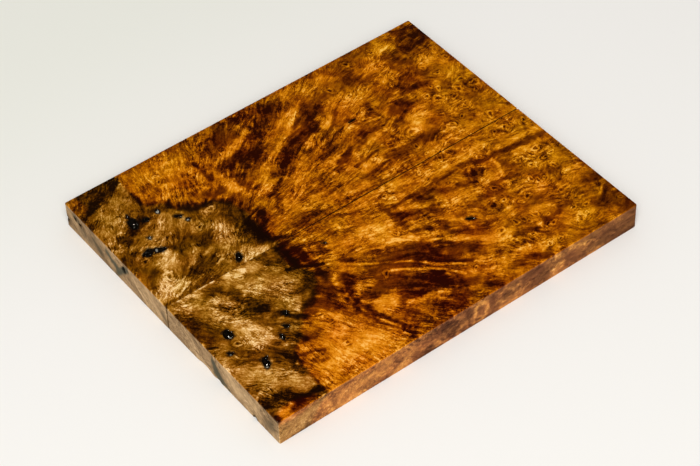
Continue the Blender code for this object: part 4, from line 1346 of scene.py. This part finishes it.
# painted sheen: the Pale share blends the colour towards a pale ramp, as if the edge mirrored the pale table
colour = blend(t, enter["Pale"], colour, pale_sheen)
colour = blend(t, sums(t, "MULTIPLY", stored(t, "stain"), 0.85), colour, STAIN)
# the inked mineral lines, and the painted shade of the seam slot
colour = blend(t, sums(t, "MULTIPLY", stored(t, "ink_and_slot_shade"), 0.88), colour, INK_AND_SLOT_SHADE)
torn = sums(t, "MULTIPLY_ADD", sums(t, "SUBTRACT", speckle(t, spot, 1.1, 3.0), 0.5), -2.4, rim)
burnt = spread(t, torn, 0.75, 0.05, 0.0, 0.8, kind="SMOOTHSTEP")
opened = spread(t, rim, 0.06, -0.04)
colour = blend(t, sums(t, "MAXIMUM", burnt, opened), colour, HOLLOW)
t.links.new(colour, leave["Color"])
print("group", colouring.name, "nodes", len(t.nodes))

# %% [markdown]
# ## Pores
# Close up, polished burl still shows pores: short dark dots far smaller than the streaks. They are too fine
# for the mesh, so they come from a cell texture that uses the place on the wood as its coordinate.

# %% The group: pores
pores, enter, leave = new_group("wood pores", (("Amount", 0.5),), (("Mask", "Float"),))
t = pores
spot = stored(t, "figure_place", "Vector")
there = vector(t, "ADD", spot, scaled(t, speckle(t, spot, 0.9, 2.0, "Color"), 0.8))
cells = add(t, "TexVoronoi", {"Vector": there, "Scale": 1.6, "Randomness": 1.0})
dot = spread(t, cells.outputs["Distance"], 0.18, 0.06)
some = spread(t, speckle(t, spot, 0.5, 2.0), 0.48, 0.62)
t.links.new(sums(t, "MULTIPLY", sums(t, "MULTIPLY", dot, some), enter["Amount"]), leave["Mask"])
print("group", pores.name, "nodes", len(t.nodes))

# %% [markdown]
# ## The finishes
# The show face is oiled and buffed: a warm ground under a clear coat. The sawn edges are only sanded, so
# they look duller, and their colour is painted paler and flatter as a painted sheen. The glue face is flat
# and matt, with a little of that painted sheen, and so are the walls of the seam. Pocket walls are dark bark,
# wet with resin, with painted glints: pale grey spots where the light would shine.

# %% A wood finish
PORE_AMOUNT, PORE_DARKNESS, ARRIS_HIGHLIGHT = 0.5, 0.35, 0.16
COAT_ROUGHNESS = 0.10
RELIEF_DEPTH = 0.2 * MM
# contrast, streaks, paleness of the painted sheen, roughness, coat and bump, in the order of the mesh's face
# kinds
FINISHES = {
    "burl_show_face": (1.0, 1.0, 0.0, 0.42, 0.4, 0.15),
    "burl_long_edge": (0.72, 0.9, 0.24, 0.5, 0.08, 0.3),
    "burl_glue_face": (0.8, 0.9, 0.15, 0.6, 0.0, 0.4),
    "burl_end_grain": (0.62, 0.9, 0.9, 0.55, 0.05, 0.3),
}
BARK = ((0.35, (5, 3, 1)), (0.62, (17, 11, 6)), (0.8, (46, 34, 18)))
GLINT_COLOUR = srgb(168, 162, 146)


def wood_finish(name, contrast, streaks, pale, roughness, coat, bump):
    """One finish of the wood. Only the clear coat shines, so the colour under it stays deep."""
    made, t, skin = new_material(name)
    figure = place(t, lightness, {"Contrast": contrast, "Streaks": streaks}).outputs
    dots = place(t, pores, {"Amount": PORE_AMOUNT}).outputs["Mask"]
    darker = sums(t, "SUBTRACT", figure["Lightness"], sums(t, "MULTIPLY", dots, PORE_DARKNESS))
    # painted highlight: lighter colour on the eased edges
    lit = sums(t, "MULTIPLY_ADD", stored(t, "arris_highlight"), ARRIS_HIGHLIGHT, darker)
    colour = place(t, colouring, {"Lightness": lit, "Greyness": figure["Greyness"], "Pale": pale})
    rough = spread(t, figure["Lightness"], 0.0, 1.0, roughness + 0.08, roughness - 0.05)
    grain = sums(t, "SUBTRACT", sums(t, "MULTIPLY", figure["Relief"], 0.5), dots)
    relief = add(t, "Bump", {"Height": grain, "Strength": bump, "Distance": RELIEF_DEPTH})
    fill(t, skin, {
        "Base Color": colour.outputs["Color"], "Roughness": rough, "Specular IOR Level": 0.0,
        "Coat Weight": coat, "Coat Roughness": COAT_ROUGHNESS, "Normal": relief.outputs[0],
    })
    return made


def pocket_finish():
    """Bark under resin, with the painted glints placed by the mesh's own map."""
    made, t, skin = new_material("resin_pocket")
    crust = speckle(t, stored(t, "figure_place", "Vector"), 1.8, 4.0)
    lumps = add(t, "Bump", {"Height": crust, "Strength": 0.25, "Distance": RELIEF_DEPTH})
    # painted highlight: the glint map turns the dark wall pale grey in spots
    fill(t, skin, {
        "Base Color": blend(t, stored(t, "painted_glint"), ramp(t, crust, BARK), GLINT_COLOUR), "Roughness": 0.08,
        "Specular IOR Level": 0.3, "Coat Weight": 0.6, "Coat IOR": 1.5, "Coat Roughness": 0.04,
        "Normal": lumps.outputs[0],
    })
    return made


finishes = [wood_finish(name, *values) for name, values in FINISHES.items()] + [pocket_finish()]
for scale in scales:
    for finish in finishes:
        scale.data.materials.append(finish)
print("materials", [m.name for m in scales[0].data.materials])
